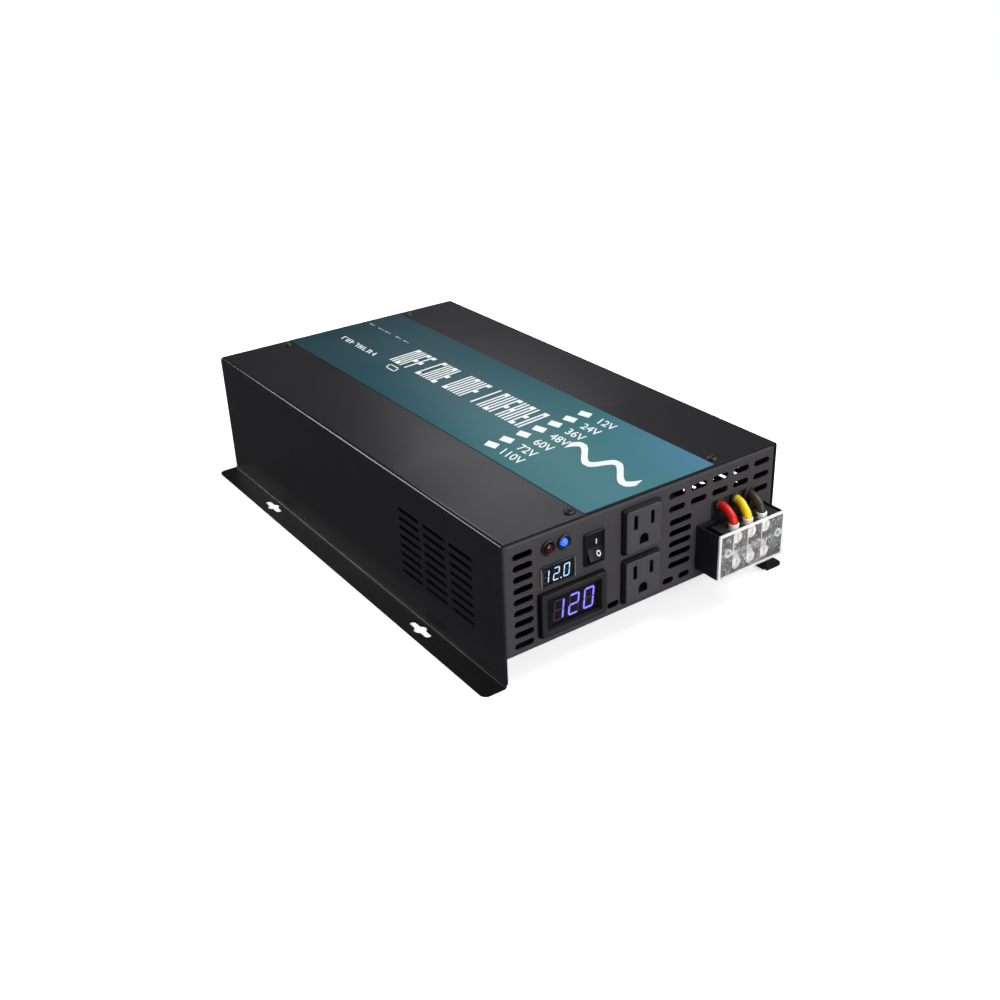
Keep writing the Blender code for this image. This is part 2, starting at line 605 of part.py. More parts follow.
def make_wires(insulation):
    """Three short leads from the output header, out through the panel and down into the lugs."""
    lug_top = BOX_LOW_Z + BOX_HEIGHT - 1.0 * MM
    for pole, name in enumerate(POLE_NAMES):
        lug_x = BLOCK_X + (pole - 1) * POLE_PITCH
        exit_x = lug_x + (0.0, 1.2 * MM, 0.3 * MM)[pole]
        route = [
            (exit_x, FRONT_Y + HEADER_Y, HEADER_TOP_Z + GAP),
            (exit_x, FRONT_Y + HEADER_Y - 1 * MM, 49 * MM),
            (exit_x, FRONT_Y + 30 * MM, 60 * MM),
            (exit_x, FRONT_Y + 16 * MM, WIRE_EXIT_Z),
            (exit_x, FRONT_Y + 1 * MM, WIRE_EXIT_Z),
            (lug_x, FRONT_Y - 9.2 * MM, 63.4 * MM),
            (lug_x, FRONT_Y - 13.0 * MM, 59.0 * MM),
            (lug_x, FRONT_Y + LUG_Y, lug_top + GAP),
        ]
        curve = bpy.data.curves.new(f"wire_{name}", "CURVE")
        curve.dimensions = "3D"
        curve.bevel_depth = WIRE_DIAMETER / 2
        curve.bevel_resolution = 2
        curve.render_resolution_u = 0
        curve.use_fill_caps = True
        points = smooth_route(route, 3)
        spline = curve.splines.new("POLY")
        spline.points.add(len(points) - 1)
        for knot, point in zip(spline.points, points):
            knot.co = (*point, 1.0)
        curve.materials.append(insulation[name])
        wire = bpy.data.objects.new(f"wire_{name}", curve)
        bpy.context.scene.collection.objects.link(wire)


def make_rear_panel(steel):
    panel = make_panel("rear_panel", REAR_Y, -1, steel)
    holes = [circle(FAN_BORE - 1 * MM, 24, (side * FAN_X, FAN_Z)) for side in (-1, 1)]
    holes += [circle(7.0 * MM, 16, (side * STUD_X, FAN_Z)) for side in (-1, 1)]
    holes.append(circle(2.9 * MM, 12, (0.0, 34 * MM)))
    cut(panel, "rear_panel_cutter", holes, "Y", REAR_Y - 3 * MM, REAR_Y + 2 * MM)


def spider(hub, reach, width, arms):
    """A hub disc with straight arms, as one outline."""
    points = []
    for arm in range(arms):
        turn = 360 * arm / arms
        opening = math.degrees(math.asin(width / 2 / hub))
        away = math.degrees(math.asin(width / 2 / reach))
        points += arc((0, 0), hub, turn + opening - 360 / arms, turn - opening, 4)
        points += arc((0, 0), reach, turn - away, turn + away, 1)
    return points


def ring_sectors(rings, spoke, quarters=4):
    """Openings between concentric rings, parted by spokes."""
    openings = []
    for inner, outer in rings:
        for quarter in range(quarters):
            turn = 360 * quarter / quarters + 45
            near = math.degrees(math.asin(spoke / 2 / inner))
            far = math.degrees(math.asin(spoke / 2 / outer))
            outside = arc((0, 0), outer, turn + far, turn + 90 - far, 4)
            inside = arc((0, 0), inner, turn + 90 - near, turn + near, 2)
            openings.append(outside + inside)
    return openings


def blade_sections(turn):
    """One fan blade from the hub outwards: a thin plate whose pitch eases towards the tip."""
    sections = []
    for radius, pitch, chord in ((11.5, 50, 8.5), (19.0, 40, 11.5), (27.0, 30, 14.0)):
        angle = math.radians(pitch)
        corners = []
        for along, across in ((-1, -1), (1, -1), (1, 1), (-1, 1)):
            length, thick = along * chord / 2 * MM, across * 0.6 * MM
            y = length * math.sin(angle) + thick * math.cos(angle)
            side = length * math.cos(angle) - thick * math.sin(angle)
            corners.append((side, y))
        sections.append((radius * MM, corners))
    rings = []
    for radius, corners in sections:
        ring = []
        for side, y in corners:
            out = math.sqrt(radius**2 - side**2)
            x = out * math.cos(turn) - side * math.sin(turn)
            z = out * math.sin(turn) + side * math.cos(turn)
            ring.append((x, y, z))
        rings.append(ring)
    return rings


def make_fan(name, side, plastic, rotor_plastic, wire):
    """A 60 mm fan behind the panel: frame with its spider, a bladed rotor, and a guard outside."""
    x = side * FAN_X
    rear = REAR_Y - SHEET - GAP
    outer = polygon(4, FAN_SIZE, 32)
    bore = circle(FAN_BORE, 32)
    front = rear - FAN_DEPTH
    at = (x, 0, FAN_Z)
    rings = ((outer, front), (outer, rear), (bore, rear), (bore, front))
    frame = add(f"fan_{name}_frame", lofted(rings, closed=True), plastic, at)
    arms = spider(HUB_RADIUS, FAN_BORE + 0.6 * MM, 3 * MM, 4)
    join(frame, f"fan_{name}_spider", [arms], "Y", front + 0.2 * MM, front + 3 * MM, at)

    centre_y = (front + 3 * MM + rear) / 2
    depth = 6.6 * MM
    shoulder = depth - 1 * MM
    hub = ((circle(HUB_RADIUS), -depth), (circle(HUB_RADIUS), shoulder), (circle(HUB_RADIUS - 1 * MM), depth))
    place = (x, centre_y, FAN_Z)
    rotor = add(f"fan_{name}_rotor", lofted(hub), rotor_plastic, place, smooth=True)
    bm = bmesh.new()
    for blade in range(BLADES):
        rings = blade_sections(2 * math.pi * blade / BLADES)
        verts = [[bm.verts.new(point) for point in ring] for ring in rings]
        for lower, upper in zip(verts, verts[1:]):
            for i in range(4):
                bm.faces.new((lower[i - 1], lower[i], upper[i], upper[i - 1]))
        bm.faces.new(verts[0])
        bm.faces.new(verts[-1])
    combine(rotor, add(f"fan_{name}_blades", bm, location=place), "UNION")

    plate = rounded_rectangle(FAN_SIZE, FAN_SIZE, 14 * MM, 4)
    guard = add(f"fan_{name}_guard", prisms([plate], "Y", REAR_Y + GAP, REAR_Y + 1.8 * MM), wire, at)
    rings = ((6 * MM, 11 * MM), (13 * MM, 18.5 * MM), (20.5 * MM, 26.5 * MM))
    openings = ring_sectors(rings, 2.4 * MM)
    cut(guard, f"fan_{name}_openings", openings, "Y", REAR_Y - 1 * MM, REAR_Y + 3 * MM, at)


def make_dc_terminals(plastics, steel, copper):
    """Two M8 studs in moulded insulators, with washer and nut, and the bus bars behind them."""
    for name, side in (("positive", -1), ("negative", 1)):
        at = (side * STUD_X, REAR_Y, FAN_Z)
        bore = circle(STUD_RADIUS + GAP)
        insulator = (
            (circle(6.6 * MM), -8 * MM),
            (circle(6.6 * MM), GAP),
            (circle(11 * MM), GAP),
            (circle(11 * MM), 5 * MM),
            (circle(10 * MM), 6 * MM),
            (bore, 6 * MM),
            (bore, -8 * MM),
        )
        add(f"dc_{name}_insulator", lofted(insulator, closed=True), plastics[name], at, smooth=True)
        rod = circle(STUD_RADIUS, 12)
        washer = circle(8.2 * MM, 12)
        nut = polygon(6, 13 * MM)
        stud = (
            (polygon(6, 13 * MM), -12 * MM),
            (polygon(6, 13 * MM), -8 * MM - GAP),
            (rod, -8 * MM - GAP),
            (rod, 6 * MM + GAP),
            (washer, 6 * MM + GAP),
            (washer, 7.9 * MM),
            (nut, 7.9 * MM),
            (nut, 14.4 * MM),
            (rod, 14.4 * MM),
            (rod, STUD_REACH - 0.8 * MM),
            (circle(STUD_RADIUS - 0.8 * MM, 12), STUD_REACH),
        )
        add(f"dc_{name}_stud", lofted(stud), steel, at, smooth=True)
        upright = REAR_Y - 12 * MM - GAP
        low, high, thick = BOARD_TOP, FAN_Z + 7 * MM, 2 * MM
        outline = [(upright, high), (upright - thick, high), (upright - thick, low + thick)]
        outline += [(upright - 32 * MM, low + thick), (upright - 32 * MM, low), (upright, low)]
        half = 6 * MM
        bar_at = (side * STUD_X, 0, 0)
        add(f"bus_bar_{name}", prisms([outline], "X", -half, half), copper, bar_at)


def make_ground_stud(steel):
    """An M5 case-earth screw with its hexagon nut."""
    rod = circle(2.5 * MM, 12)
    nut = polygon(6, 8 * MM)
    sections = ((rod, -8 * MM), (rod, GAP), (nut, GAP), (nut, 4.3 * MM), (rod, 4.3 * MM), (rod, 12 * MM))
    add("ground_stud", lofted(sections), steel, (0, REAR_Y, 34 * MM), smooth=True)


def make_boards(laminate):
    """The power board on its posts and a small control board standing across it."""
    length = BOARD_REAR - BOARD_FRONT
    outline = rounded_rectangle(190 * MM, length, 2 * MM, 2, (0, BOARD_FRONT + length / 2))
    at = (0, FRONT_Y, 0)
    add("main_board", prisms([outline], "Z", BOARD_Z, BOARD_Z + BOARD_THICKNESS), laminate, at)
    upright = [(-50 * MM, BOARD_TOP), (36 * MM, BOARD_TOP), (36 * MM, 74 * MM), (-50 * MM, 74 * MM)]
    add("control_board", prisms([upright], "Y", 104 * MM, 105.6 * MM), laminate, at)


def make_heatsinks(aluminium):
    """Extruded sinks along both sides: a plate with fins towards the wall."""
    low, high, fins = BOARD_TOP, 86 * MM, 6
    thick = 1.6 * MM
    for name, side in (("left", -1), ("right", 1)):
        outline = [(58 * MM, low), (58 * MM, high)]
        pitch = (high - low - thick) / (fins - 1)
        for fin in range(fins):
            top = high - fin * pitch
            outline += [(90 * MM, top), (90 * MM, top - thick)]
            if fin < fins - 1:
                outline += [(61.5 * MM, top - thick), (61.5 * MM, top - pitch)]
        points = [(side * x, z) for x, z in outline]
        add(f"heatsink_{name}", prisms([points], "Y", FRONT_Y + 135 * MM, REAR_Y - 50 * MM), aluminium)


def make_magnetics(ferrite, copper, enamel):
    """A shell-core transformer with its winding, and a toroidal output choke."""
    y = FRONT_Y + 225 * MM
    low = BOARD_TOP
    high = low + 50 * MM
    middle = (low + high) / 2
    shell = rounded_rectangle(60 * MM, 50 * MM, 1 * MM, 1, (0, middle))
    core = add("transformer_core", prisms([shell], "Y", y - 15 * MM, y + 15 * MM), ferrite)
    windows = []
    for side in (-1, 1):
        windows.append(rounded_rectangle(14 * MM, 34 * MM, 0.5 * MM, 1, (side * 15 * MM, middle)))
    cut(core, "transformer_windows", windows, "Y", y - 20 * MM, y + 20 * MM)
    inner = rounded_rectangle(16.6 * MM, 30.8 * MM, 1 * MM, 3)
    outer = rounded_rectangle(42.8 * MM, 56 * MM, 8 * MM, 3)
    below, above = middle - 16.5 * MM, middle + 16.5 * MM
    winding = ((outer, below), (outer, above), (inner, above), (inner, below))
    add("transformer_winding", lofted(winding, "Z", closed=True), copper, (0, y, 0))

    bm = bmesh.new()
    rings = []
    major, minor, around, across = 17 * MM, 8.5 * MM, 18, 8
    for step in range(around):
        turn = 2 * math.pi * step / around
        ring = []
        for part in range(across):
            angle = 2 * math.pi * part / across
            radius = major + minor * math.cos(angle)
            place = (radius * math.cos(turn), radius * math.sin(turn), minor * math.sin(angle))
            ring.append(bm.verts.new(place))
        rings.append(ring)
    for ring, after in zip(rings, rings[1:] + rings[:1]):
        for i in range(across):
            bm.faces.new((ring[i - 1], ring[i], after[i], after[i - 1]))
    add("output_choke", bm, enamel, (14 * MM, FRONT_Y + 145 * MM, low + minor), smooth=True)


def make_capacitors(sleeve):
    """The high-voltage and input reservoir capacitors, standing on the board."""
    for name, x, y, radius, height in (
        ("high_voltage_capacitor", -30 * MM, 140 * MM, 15 * MM, 45 * MM),
        ("input_capacitor", 0.0, 290 * MM, 11 * MM, 40 * MM),
    ):
        top = BOARD_TOP + height
        sections = (
            (circle(radius), BOARD_TOP),
            (circle(radius), top - 1 * MM),
            (circle(radius - 1 * MM), top),
            (circle(radius - 2 * MM), top),
            (circle(radius - 2 * MM), top - 0.5 * MM),
        )
        add(name, lofted(sections, "Z"), sleeve, (x, FRONT_Y + y, 0), smooth=True)


def make_header(plastic):
    """The output header on the board, where the three leads start."""
    outline = rounded_rectangle(44 * MM, 12 * MM, 1 * MM, 2, (BLOCK_X + 1 * MM, FRONT_Y + HEADER_Y))
    add("output_header", prisms([outline], "Z", BOARD_TOP, HEADER_TOP_Z), plastic)


def main():
    clear_scene()
    case_paint = finish("case_paint", (0.035, 0.034, 0.037), 0.42, 0.2)
    panel_paint = finish("panel_paint", (0.06, 0.06, 0.066), 0.5, 0.2)
    black_plastic = finish("black_plastic", (0.015, 0.015, 0.017), 0.4)
    grey_plastic = finish("grey_plastic", (0.055, 0.055, 0.06), 0.5)
    white_plastic = finish("white_plastic", (0.8, 0.8, 0.78), 0.4)
    red_plastic = finish("red_plastic", (0.6, 0.02, 0.02), 0.4)
    smoked = finish("smoked_window", (0.02, 0.012, 0.02), 0.1)
    bright = finish("bright_screw", (0.75, 0.73, 0.68), 0.25, 1.0)
    brass = finish("brass", (0.75, 0.6, 0.35), 0.3, 1.0)
    copper = finish("copper", (0.8, 0.42, 0.25), 0.35, 1.0)
    aluminium = finish("aluminium", (0.7, 0.7, 0.72), 0.4, 1.0)
    laminate = finish("laminate", (0.02, 0.16, 0.06), 0.5)

    make_cover(case_paint)
    make_cover_screws(bright)
    make_front_panel(panel_paint)
    make_rear_panel(panel_paint)
    make_base_plate(case_paint)
    make_label(finish("label_film", (0.06, 0.17, 0.2), 0.35))
    make_lamps(
        black_plastic,
        finish("red_lens", (0.2, 0.01, 0.01), 0.15),
        finish("blue_lens", (0.02, 0.12, 0.9), 0.15),
    )
    dc_window = (21.6 * MM, 11.4 * MM)
    ac_window = (36.0 * MM, 18.2 * MM)
    plastics = (black_plastic, smoked)
    make_meter("dc_meter", DC_METER_AT, DC_METER_SIZE, 1.2 * MM, dc_window, 0.8 * MM, 9 * MM, *plastics)
    make_meter("ac_meter", AC_METER_AT, AC_METER_SIZE, 4.2 * MM, ac_window, 2.6 * MM, 18 * MM, *plastics)
    make_switch(black_plastic, black_plastic)
    make_outlets(grey_plastic)
    make_terminal_box(case_paint, black_plastic)
    make_terminal_screws(brass)
    make_lugs(bright)
    make_terminal_cover(finish("clear_plastic", (0.85, 0.87, 0.88), 0.1))
    make_wires({
        "red": finish("red_insulation", (0.7, 0.02, 0.01), 0.4),
        "yellow": finish("yellow_insulation", (0.85, 0.62, 0.0), 0.4),
        "black": black_plastic,
    })
    for name, side in (("left", -1), ("right", 1)):
        make_fan(name, side, black_plastic, black_plastic, bright)
    make_dc_terminals({"positive": red_plastic, "negative": black_plastic}, bright, copper)
    make_ground_stud(brass)
    make_boards(laminate)
    make_heatsinks(aluminium)
    ferrite = finish("ferrite", (0.08, 0.08, 0.085), 0.6)
    make_magnetics(ferrite, copper, finish("enamel", (0.35, 0.1, 0.03), 0.3))
    make_capacitors(finish("capacitor_sleeve", (0.02, 0.03, 0.09), 0.35))
    make_header(white_plastic)


main()
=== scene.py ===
import math

import bmesh
import bpy
from mathutils import Matrix, Vector


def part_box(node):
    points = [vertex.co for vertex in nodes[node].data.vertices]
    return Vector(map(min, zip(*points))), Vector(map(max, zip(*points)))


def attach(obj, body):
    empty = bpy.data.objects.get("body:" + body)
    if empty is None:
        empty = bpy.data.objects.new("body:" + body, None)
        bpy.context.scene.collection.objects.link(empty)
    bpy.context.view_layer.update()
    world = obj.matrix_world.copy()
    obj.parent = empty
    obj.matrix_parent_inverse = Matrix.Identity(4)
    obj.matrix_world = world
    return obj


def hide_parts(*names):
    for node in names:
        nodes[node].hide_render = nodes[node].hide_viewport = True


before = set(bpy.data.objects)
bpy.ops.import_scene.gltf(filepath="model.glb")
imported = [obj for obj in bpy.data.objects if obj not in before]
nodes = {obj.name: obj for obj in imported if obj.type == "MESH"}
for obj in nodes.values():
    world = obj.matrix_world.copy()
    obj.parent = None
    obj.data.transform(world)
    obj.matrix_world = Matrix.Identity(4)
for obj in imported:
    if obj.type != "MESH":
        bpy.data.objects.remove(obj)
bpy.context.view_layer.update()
MM = 0.001

# ------------------------------------------------------------------ studio
# A catalogue set-up: the camera stands before the left corner and looks down on the case, which
# rests on a pale sweep. The key softbox hangs over the right, with a weaker one in front, a rim
# light behind the left corner, and a small one close over the top that gives it its gradient.
AZIMUTH, ELEVATION, ROLL = (math.radians(angle) for angle in (-33.97, 27.46, -2.31))
DISTANCE = 802.41 * MM
AIM = Vector((-16.42, -58.55, 40.0)) * MM
SENSOR, LENS = 36.0, 42.93
SWEEP = 1.7
SKY_LOW, SKY_LIFT = 0.095, 0.22

back = Vector((
    math.sin(AZIMUTH) * math.cos(ELEVATION),
    -math.cos(AZIMUTH) * math.cos(ELEVATION),
    math.sin(ELEVATION),
))
level = Vector((math.cos(AZIMUTH), math.sin(AZIMUTH), 0.0))
right = math.cos(ROLL) * level + math.sin(ROLL) * back.cross(level)
above = back.cross(right)
lens = bpy.data.cameras.new("catalogue_camera")
lens.sensor_width = SENSOR
lens.lens = LENS
lens.clip_start = 0.05
camera = bpy.data.objects.new("catalogue_camera", lens)
camera.matrix_world = Matrix.Translation(AIM + DISTANCE * back) @ Matrix((
    (right.x, above.x, back.x, 0.0),
    (right.y, above.y, back.y, 0.0),
    (right.z, above.z, back.z, 0.0),
    (0.0, 0.0, 0.0, 1.0),
))
bpy.context.scene.collection.objects.link(camera)
bpy.context.scene.camera = camera
bpy.context.scene.view_settings.view_transform = "Standard"


class Value:
    """A shader or geometry socket that takes part in sums: each operator adds its Math node."""

    def __init__(self, graph, socket):
        self.graph, self.socket = graph, socket

    def math(self, operation, *others):
        return self.graph.node("ShaderNodeMath", {"operation": operation}, self, *others)

    def __add__(self, other):
        return self.math("ADD", other)

    def __mul__(self, other):
        return self.math("MULTIPLY", other)

    def __sub__(self, other):
        return self.math("SUBTRACT", other)

    def __rsub__(self, other):
        return self.graph.node("ShaderNodeMath", {"operation": "SUBTRACT"}, other, self)

    def __truediv__(self, other):
        return self.math("DIVIDE", other)

    def __abs__(self):
        return self.math("ABSOLUTE")

    __radd__, __rmul__ = __add__, __mul__

    def above(self, low, high):
        """0 below low and 1 above high, smooth between."""
        settings = {"interpolation_type": "SMOOTHSTEP"}
        return self.graph.node("ShaderNodeMapRange", settings, self, low, high)


def four(value):
    """A colour of three numbers made opaque; anything else as it is."""
    return (*value, 1.0) if isinstance(value, tuple) and len(value) == 3 else value


class Graph:
    """A node tree that is written from one method."""

    def __init__(self, tree):
        self.tree = tree

    def node(self, kind, settings, *values, out=None, **named):
        """Adds a node: its settings first, then its sockets in order or by name or identifier."""
        made = self.tree.nodes.new(kind)
        for key, setting in settings.items():
            if key == "stops":
                ramp = made.color_ramp
                while len(ramp.elements) < len(setting):
                    ramp.elements.new(0.5)
                for element, (position, colour) in zip(ramp.elements, setting):
                    element.position = position
                    element.color = four(colour)
            else:
                setattr(made, key, setting)
        for index, value in [*enumerate(values), *named.items()]:
            if isinstance(index, str):
                found = [s for s in made.inputs if s.identifier == index]
                found += [s for s in made.inputs if s.name == index.replace("_", " ")]
                socket = found[0]
            else:
                socket = made.inputs[index]
            self.feed(socket, value)
        outputs = [s for s in made.outputs if s.enabled]
        if out:
            outputs = [s for s in made.outputs if out in (s.identifier, s.name)]
        return Value(self, outputs[0]) if outputs else made

    def feed(self, socket, value):
        if isinstance(value, Value):
            self.tree.links.new(value.socket, socket)
        else:
            socket.default_value = value

    def vector(self, x=0.0, y=0.0, z=0.0):
        return self.node("ShaderNodeCombineXYZ", {}, x, y, z)


class Finish(Graph):
    """A node material on one Principled shader; patterns read the object's own coordinates."""

    def __init__(self, name, **plain):
        self.material = bpy.data.materials.new(name)
        self.material.use_nodes = True
        super().__init__(self.material.node_tree)
        self.shader = self.tree.nodes["Principled BSDF"]
        for key, value in plain.items():
            self.put(key, value)
        self.place = self.node("ShaderNodeTexCoord", {}, out="Object")

    def put(self, key, value):
        self.feed(self.shader.inputs[key.replace("_", " ")], four(value))

    def along(self, axis):
        """The place on one axis, in metres."""
        return self.node("ShaderNodeSeparateXYZ", {}, self.place, out=axis)

    def noise(self, size, detail=2.0, stretch=None):
        """Cloudy variation from 0 to 1 whose blotches are about this size, in millimetres."""
        source = self.place
        if stretch:
            source = self.node("ShaderNodeMapping", {"vector_type": "POINT"}, source, Scale=stretch)
        return self.node("ShaderNodeTexNoise", {}, source, Scale=1.0 / (size * MM), Detail=detail, out="Fac")

    def mix(self, factor, first, second):
        """Colours or values blended by a factor."""
        ends = {"Factor_Float": factor, "A_Color": four(first), "B_Color": four(second)}
        return self.node("ShaderNodeMix", {"data_type": "RGBA"}, out="Result_Color", **ends)

    def bump(self, height, depth, strength=1.0, over=None):
        """A relief this many millimetres deep, laid over another one if given."""
        settings = {"Height": height, "Distance": depth * MM, "Strength": strength}
        if over:
            settings["Normal"] = over
        return self.node("ShaderNodeBump", {}, **settings)

    def dress(self, tone, first, second, roughness, relief=None):
        """Sets the colour, between two by a tone, the roughness, and any relief; returns itself."""
        self.put("Base Color", self.mix(tone, first, second))
        self.put("Roughness", roughness)
        if relief:
            self.put("Normal", self.bump(*relief))
        return self


sweep = Finish("pale_sweep", Roughness=0.9, Specular_IOR_Level=0.1, Emission_Strength=1.0)
sweep.put("Base Color", sweep.mix(sweep.noise(400), (0.86, 0.86, 0.865), (0.9, 0.9, 0.9)))
lit_to_camera = sweep.node("ShaderNodeLightPath", {}, out="Is Camera Ray")
sweep.put("Emission Color", sweep.mix(lit_to_camera, (0.0, 0.0, 0.0), (0.6, 0.6, 0.605)))
floor_mesh = bpy.data.meshes.new("pale_sweep")
floor_corners = [(-SWEEP, -SWEEP, 0), (SWEEP, -SWEEP, 0), (SWEEP, SWEEP, 0), (-SWEEP, SWEEP, 0)]
floor_mesh.from_pydata(floor_corners, [], [(0, 1, 2, 3)])
floor_mesh.materials.append(sweep.material)
floor = bpy.data.objects.new("pale_sweep", floor_mesh)
bpy.context.scene.collection.objects.link(floor)
floor.visible_glossy = False


def softbox(name, at, aim, size, power):
    light = bpy.data.lights.new(name, "AREA")
    light.shape = "RECTANGLE"
    light.size, light.size_y = size
    light.energy = power
    lamp = bpy.data.objects.new(name, light)
    lamp.location = at
    lamp.visible_camera = False
    lamp.rotation_mode = "QUATERNION"
    lamp.rotation_quaternion = (Vector(aim) - Vector(at)).to_track_quat("-Z", "Y")
    bpy.context.scene.collection.objects.link(lamp)


softbox("key_softbox", (1.5, -0.3, 1.9), (0, 0, 0), (1.5, 1.5), 42)
softbox("front_softbox", (0.1, -2.3, 1.1), (0, 0, 0.05), (1.4, 0.9), 39)
softbox("rim_softbox", (-1.2, 1.9, 1.3), (0, 0, 0.05), (1.2, 0.5), 30)
softbox("corner_softbox", (0.3, 0.42, 0.46), (-0.08, -0.15, 0.095), (0.24, 0.2), 0.48)

surround = bpy.data.worlds.new("studio_surround")
surround.use_nodes = True
bpy.context.scene.world = surround
air = Graph(surround.node_tree)
towards = air.node("ShaderNodeTexCoord", {}, out="Generated")
height = air.node("ShaderNodeSeparateXYZ", {}, towards, out="Z")
shade = height.above(0.5, 0.95) * SKY_LIFT + SKY_LOW
seen = air.node("ShaderNodeLightPath", {}, out="Is Camera Ray")
backdrop = surround.node_tree.nodes["Background"]
air.feed(backdrop.inputs["Strength"], shade * (1 - seen) + seen)
air.feed(backdrop.inputs["Color"], (1.0, 1.0, 1.0, 1.0))

# ------------------------------------------------------------------ cover
# One sheet of 1.2 mm steel, punched flat and then folded twice on each side into the top, the
# two walls and the two feet, and powder coated satin black. Four screws hold it to the panels.
SHEET = 1.2 * MM
TOP_BEND, FOOT_BEND = 2.4 * MM, 1.0 * MM
EASED = 0.12 * MM
FLANGE_CORNER = 4.5 * MM
WALL = 105.5 * MM
LOUVRE_LONG, LOUVRE_WIDE = 24 * MM, 2.6 * MM
LOUVRE_TOP, LOUVRE_PITCH, LOUVRE_FIRST, LOUVRE_STEP = 71.6, 6.2, 41.8, 28.3
KEYHOLE_INSET, KEYHOLE_OUT = 82 * MM, 6.8 * MM
SCREW_HOLE = 1.8 * MM
cover_low, cover_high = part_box("cover")
TOP_Z = cover_high.z
TIP = cover_high.x
FRONT_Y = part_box("front_panel")[0].y
REAR_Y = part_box("rear_panel")[1].y


def centre_of(node):
    low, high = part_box(node)
    return (low + high) / 2


def face_spot(node):
    """A node's middle as seen from the front: its X and Z."""
    return (centre_of(node).x, centre_of(node).z)


screw_nodes = [f"cover_screw_{end}_{side}" for end in ("front", "rear") for side in ("left", "right")]
screw_spots = [centre_of(name).xy for name in screw_nodes]


def arc(middle, radius, start, end, steps):
    """Points of an arc between two angles in degrees."""
    turns = [math.radians(start + (end - start) * step / steps) for step in range(steps + 1)]
    return [(middle[0] + radius * math.cos(t), middle[1] + radius * math.sin(t)) for t in turns]


def rounded(width, height, radius, centre=(0.0, 0.0), steps=6):
    """A rectangle with rounded corners, anticlockwise; a slot where radius is half the height."""
    points = []
    for quarter, (side, end) in enumerate(((1, -1), (1, 1), (-1, 1), (-1, -1))):
        middle = (centre[0] + side * (width / 2 - radius), centre[1] + end * (height / 2 - radius))
        points += arc(middle, radius, 90 * (quarter - 1), 90 * quarter, steps)
    return [p for i, p in enumerate(points) if math.dist(p, points[i - 1]) > 1e-7]


def circle(radius, centre=(0.0, 0.0), steps=32):
    return arc(centre, radius, 0, 360 - 360 / steps, steps - 1)


def plain_mesh(carrier):
    """The finished shape of a working object as a bmesh; the object itself is dropped."""
    bpy.context.scene.collection.objects.link(carrier)
    evaluated = carrier.evaluated_get(bpy.context.evaluated_depsgraph_get())
    mesh = bpy.data.meshes.new_from_object(evaluated)
    bm = bmesh.new()
    bm.from_mesh(mesh)
    bpy.data.objects.remove(carrier)
    bpy.data.meshes.remove(mesh)
    return bm


def merge(bm, gap=1e-7):
    bmesh.ops.remove_doubles(bm, verts=bm.verts, dist=gap)
    return bm


def blank(outline, holes, thickness, eased=EASED, shift=(0, 0, 0), upright=False):
    """A flat sheet with punched holes and eased edges; its middle lies on Z = 0 until shifted."""
    curve = bpy.data.curves.new("blank", "CURVE")
    curve.dimensions = "2D"
    curve.fill_mode = "BOTH"
    curve.extrude = thickness / 2 - eased
    curve.bevel_depth = eased
    curve.bevel_resolution = 1
    curve.offset = -eased
    for points, turned in [(outline, 1)] + [(hole, -1) for hole in holes]:
        spline = curve.splines.new("POLY")
        spline.points.add(len(points) - 1)
        for knot, point in zip(spline.points, points[::turned]):
            knot.co = (*point, 0.0, 1.0)
        spline.use_cyclic_u = True
    bm = merge(plain_mesh(bpy.data.objects.new("blank", curve)))
    bpy.data.curves.remove(curve)
    if upright:
        bmesh.ops.transform(bm, matrix=Matrix.Rotation(math.pi / 2, 4, "X"), verts=bm.verts)
    bmesh.ops.translate(bm, verts=bm.verts, vec=shift)
    return bm


def folded(along, out, bends):
    """Where a point of the blank goes: its way along the sheet, its height over the middle."""
    x = z = heading = reached = 0.0
    for start, turn, radius in bends:
        run = min(along, start) - reached
        x += run * math.cos(heading)
        z += run * math.sin(heading)
        if along <= start:
            break
        side = math.copysign(1.0, turn)
        after = heading + side * min((along - start) / radius, abs(turn))
        x += side * radius * (math.sin(after) - math.sin(heading))
        z += side * radius * (math.cos(heading) - math.cos(after))
        heading = after
        reached = start + abs(turn) * radius
        if along <= reached:
            break
    else:
        x += (along - reached) * math.cos(heading)
        z += (along - reached) * math.sin(heading)
    return x - out * math.sin(heading), z + out * math.cos(heading)


def score(bm, across, bends, cuts=8):
    """Cuts the blank across each bend, so that it can turn smoothly there."""
    for start, turn, radius in bends:
        for side in (-1, 1):
            for cut in range(cuts + 1):
                place = side * (start + abs(turn) * radius * cut / cuts) * across
                everything = bm.verts[:] + bm.edges[:] + bm.faces[:]
                bmesh.ops.bisect_plane(bm, geom=everything, plane_co=place, plane_no=across, dist=1e-7)


def piece(name, bm, body, slot, finish, replaces=(), sharp=35):
    """Ends a bmesh as a finished object that rides on a body and takes the given finish; slot is not used."""
    bmesh.ops.recalc_face_normals(bm, faces=bm.faces)
    mesh = bpy.data.meshes.new(name)
    bm.to_mesh(mesh)
    bm.free()
    if sharp:
        mesh.shade_smooth()
        mesh.set_sharp_from_angle(angle=math.radians(sharp))
    mesh.materials.append(finish.material)
    made = bpy.data.objects.new(name, mesh)
    bpy.context.scene.collection.objects.link(made)
    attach(made, body)
    if replaces:
        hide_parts(*replaces)


